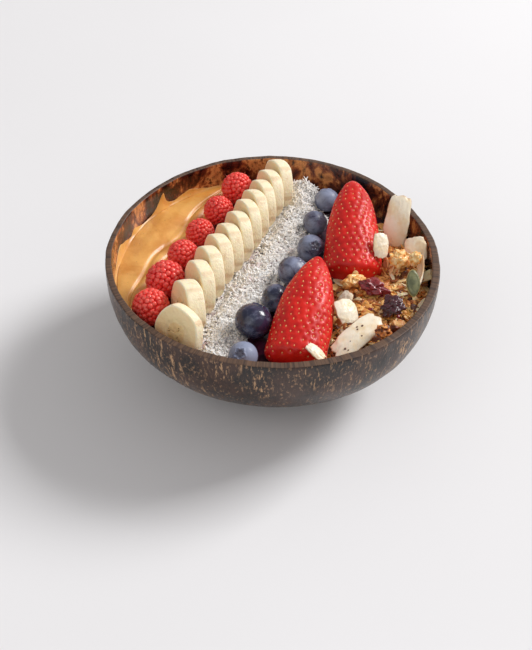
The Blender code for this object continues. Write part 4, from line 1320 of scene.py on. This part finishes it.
# Larger pieces among the granola

nugget = {
    # knobbliness, seed and turn of each baked cluster, and how pale it is
    "clusters": ((0.45, 4.0, (10, 15, 20), 0.88), (0.40, 9.0, (0, 25, 60), 0.90),
                 (0.40, 7.0, (12, 0, 25), 0.76), (0.50, 2.2, (0, 10, 30), 0.42)),
    "oats": 14, "oatLong": 0.0040,
    "cranberries": ((0.55, 8.0, (15, 5, -12), 0.25), (0.55, 3.3, (15, -8, -35), 0.95)),
    "almond": (0.25, 5.5, (0, 10, 15)), "pumpkinTurn": (34, 4, 4),
    "berryRed": tone(150, 26, 34), "berryDark": tone(62, 16, 30), "berryFoldShade": tone(38, 8, 16),
    "nutPale": tone(226, 176, 112), "nutWarm": tone(190, 128, 72),
    "nutSkin": tone(140, 66, 36), "nutSkinDark": tone(96, 42, 26),
    "hullGreen": tone(122, 122, 84), "hullDark": tone(84, 88, 60), "hullRim": tone(190, 178, 112),
}


def nuggetShape(name, knobble, seed, turn, rows=34, cols=44, fine=0.0, power=1.0, fineScale=5.0):
    # uneven lump with the outline of its node; also gives directions from its middle
    turn = angles(*turn)
    middle, size = seat(name, turn)
    ways, faces = bead(rows, cols)
    shift = ways * 1.9 + np.array((seed, 0.0, 0.0))
    swell = 1.0 + knobble * wave(shift, 1.0) + fine * wave(ways, fineScale, seed, 2)
    boxy = np.sign(ways) * np.abs(ways) ** power
    points = boxy * swell[:, None]
    low, high = points.min(0), points.max(0)
    points = (points - (low + high) / 2.0) / (high - low) * size
    return points, faces, ways, turn, middle


def buildCluster(index, finish):
    random.seed(700 + index)
    knobble, seed, turn, brown = nugget["clusters"][index]
    name = f"oat_cluster_{index + 1}"
    points, faces, ways, turn, middle = nuggetShape(name, knobble, seed, turn, fine=0.14)
    heap = newHeap()
    points = points * 0.90
    tint = np.clip(brown - 0.10 + 0.4 * wave(ways, 3.0, seed, 2), 0.05, 1.0)
    layShape(heap, points, faces, turn, middle, tint, 0.0)
    unit, unitFaces = flatUnit(5, 14)
    for k in range(nugget["oats"]):
        at = random.randrange(len(points))
        long = nugget["oatLong"] * random.uniform(0.6, 1.1)
        shape = oatFlake(unit, long, long * 0.18, random.uniform(-0.16, -0.02), k * 1.1 + seed)
        laid = turned(shape, scatterTurn(ways[at], 0.5)) + points[at] * 0.99
        rim = fromMiddle(unit) ** 4 * 0.8
        layShape(heap, laid, unitFaces, turn, middle,
                 min(1.0, brown + random.uniform(-0.2, 0.2)), rim)
    makePiece(f"oatCluster_{index + 1}", heap, finish, [name])


def cranberryFinish():
    finish, tree, shader = newFinish("driedCranberry", Subsurface_Weight=0.22,
                                     Subsurface_Scale=0.0015, Subsurface_Radius=(1.0, 0.15, 0.15),
                                     Coat_Weight=0.5, Coat_Roughness=0.18)
    colour = ramp(tree, mark(tree, "tint"), (0.0, nugget["berryRed"]), (1.0, nugget["berryDark"]))
    # painted shade: the wrinkles are darkened towards near-black red
    fold = step(tree, mark(tree, "edge"), 0.2, 0.9)
    foldShadeShare = sums(tree, "MULTIPLY", fold, 0.6)
    colourIn(tree, shader, mixed(tree, foldShadeShare, colour, nugget["berryFoldShade"]))
    roughIn(tree, shader, grain(tree, spot(tree), 700, 3), 0.18, 0.45)
    reliefIn(tree, shader, grain(tree, spot(tree), 1100, 4, 0.6), 0.5, 0.0004)
    return finish


def buildCranberry(index, finish):
    knobble, seed, turn, dark = nugget["cranberries"][index]
    name = f"dried_cranberry_{index + 1}"
    points, faces, ways, turn, middle = nuggetShape(name, knobble, seed, turn, 56, 72)
    wrinkle = np.exp(-(wave(ways, 2.6, seed + 2.0, 2) / 0.10) ** 2)
    points = points * (1.0 - 0.13 * wrinkle)[:, None]
    heap = newHeap()
    layShape(heap, points, faces, turn, middle, dark, wrinkle)
    makePiece(f"driedCranberry_{index + 1}", heap, finish, [name])


def nutFinish():
    finish, tree, shader = newFinish("almondWithSkin", Subsurface_Weight=0.15,
                                     Subsurface_Scale=0.0015, Roughness=0.5)
    cloud = grain(tree, spot(tree), 420, 4, 0.6)
    flesh = mixed(tree, step(tree, cloud, 0.38, 0.68), nugget["nutPale"], nugget["nutWarm"])
    skin = mixed(tree, step(tree, cloud, 0.4, 0.6), nugget["nutSkin"], nugget["nutSkinDark"])
    colourIn(tree, shader, mixed(tree, step(tree, mark(tree, "tint"), 0.45, 0.6), flesh, skin))
    reliefIn(tree, shader, grain(tree, spot(tree), 1500, 4), 0.4, 0.0004)
    return finish


def buildNut():
    knobble, seed, turn = nugget["almond"]
    points, faces, ways, turn, middle = nuggetShape("almond_piece", knobble, seed, turn, 30, 40,
                                                    fine=0.05, power=0.62)
    heap = newHeap()
    skin = 0.5 + 0.9 * (ways @ np.array((-0.55, -0.75, -0.30))) + 0.2 * wave(ways, 2.0, 1.0)
    layShape(heap, points, faces, turn, middle, np.clip(skin - 0.25, 0.0, 1.0), 0.0)
    makePiece("almondChunk", heap, nutFinish(), ["almond_piece"])


def buildPumpkinSeed():
    finish, tree, shader = newFinish("pumpkinSeedSkin", Coat_Weight=0.15)
    cloud = grain(tree, spot(tree), 320, 4, 0.6)
    colour = mixed(tree, step(tree, cloud, 0.36, 0.66), nugget["hullGreen"], nugget["hullDark"])
    rim = step(tree, mark(tree, "edge"), 0.55, 0.95)
    colourIn(tree, shader, mixed(tree, rim, colour, nugget["hullRim"]))
    roughIn(tree, shader, cloud, 0.28, 0.5)
    reliefIn(tree, shader, grain(tree, spot(tree), 900, 3), 0.3, 0.0003)
    turn = angles(*nugget["pumpkinTurn"])
    middle, size = seat("pumpkin_seed", turn)
    unit, faces = ball(26, 44, lambda p, a: (np.sin(p) ** 0.7, np.cos(p)))
    down = unit[:, 1]
    shape = unit.copy()
    shape[:, 0] *= (1.0 - 0.35 * np.clip(-down, 0.0, 1.0) ** 2) * (1.0 - 0.10 * np.clip(down, 0, 1))
    away = fromMiddle(unit)
    shape[:, 2] *= 0.72 + 0.28 * np.exp(-((away - 0.80) / 0.10) ** 2) + 0.15 * (1.0 - away)
    low, high = shape.min(0), shape.max(0)
    shape = (shape - (low + high) / 2.0) / (high - low) * size
    heap = newHeap()
    layShape(heap, shape, faces, turn, middle, 0.5, away ** 6)
    makePiece("pumpkinSeed", heap, finish, ["pumpkin_seed"])


# Floor, light and camera

studio = {
    "floor": tone(226, 225, 226), "floorPale": tone(234, 233, 235), "floorReach": 4.0,
    "sky": 0.42, "skyColour": (1.0, 0.975, 0.965, 1.0),
    "keyPlace": (1.90, 1.10, 1.80), "keySize": 1.0, "keyPower": 76.0,
    "fillPlace": (-0.6, -0.9, 0.8), "fillSize": 1.2, "fillPower": 3.6,
    "cameraPlace": (-0.0026, -0.408, 0.3922), "pitch": math.radians(42.92),
    "roll": math.radians(1.58), "lens": 62.4,
}


def buildStudio():
    mesh = bpy.data.meshes.new("floor")
    reach = studio["floorReach"]
    corners = [(-reach, -reach, 0), (reach, -reach, 0), (reach, reach, 0), (-reach, reach, 0)]
    mesh.from_pydata(corners, [], [(0, 1, 2, 3)])
    floor = bpy.data.objects.new("floor", mesh)
    floor.location.z = -0.0002
    scene.collection.objects.link(floor)
    finish, tree, shader = newFinish("paleTable", Roughness=0.85)
    cloud = grain(tree, spot(tree), 3.0, 3)
    colourIn(tree, shader, mixed(tree, cloud, studio["floor"], studio["floorPale"]))
    mesh.materials.append(finish)
    for name in ("key", "fill"):
        light = bpy.data.lights.new(name, "AREA")
        light.size = studio[name + "Size"]
        light.energy = studio[name + "Power"]
        lamp = bpy.data.objects.new(name, light)
        lamp.location = studio[name + "Place"]
        lamp.rotation_euler = (-Vector(studio[name + "Place"])).to_track_quat("-Z", "Y").to_euler()
        scene.collection.objects.link(lamp)
    world = bpy.data.worlds.new("studioSky")
    world.use_nodes = True
    sky = world.node_tree.nodes["Background"]
    sky.inputs["Color"].default_value = studio["skyColour"]
    sky.inputs["Strength"].default_value = studio["sky"]
    scene.world = world
    scene.view_settings.view_transform = "Standard"


def buildCamera():
    camera = bpy.data.objects.new("camera", bpy.data.cameras.new("camera"))
    scene.collection.objects.link(camera)
    pitch, roll = studio["pitch"], studio["roll"]
    ahead = Vector((0.0, math.cos(pitch), -math.sin(pitch)))
    upright = Vector((0.0, math.sin(pitch), math.cos(pitch)))
    across = Vector((1.0, 0.0, 0.0))
    up = math.cos(roll) * upright - math.sin(roll) * across
    right = math.cos(roll) * across + math.sin(roll) * upright
    place = Matrix((right, up, -ahead)).transposed().to_4x4()
    place.translation = Vector(studio["cameraPlace"])
    camera.matrix_world = place
    camera.data.lens = studio["lens"]
    scene.camera = camera


def buildEach(build, count, finish, title):
    for index in range(count):
        build(index, finish)
    print(title, "done")


buildShell()
buildSmoothie()
buildButter()
buildEach(buildRaspberry, raspberry["count"], raspberryFinish(), "raspberries")
buildEach(buildBananaSlice, banana["count"], bananaFinish(), "banana")
buildEach(buildBlueberry, blueberry["count"], blueberryFinish(), "blueberries")
buildEach(buildStrawberry, len(strawberry["turns"]), strawberryFinish(), "strawberries")
buildCoconut()
buildGranola()
buildEach(buildChip, len(chip["pieces"]), chipFinish(), "coconut chips")
buildEach(buildCluster, len(nugget["clusters"]), granolaFinish(), "oat clusters")
buildEach(buildCranberry, len(nugget["cranberries"]), cranberryFinish(), "dried cranberries")
buildNut()
buildPumpkinSeed()
print("almond and pumpkin seed done")
buildStudio()
buildCamera()
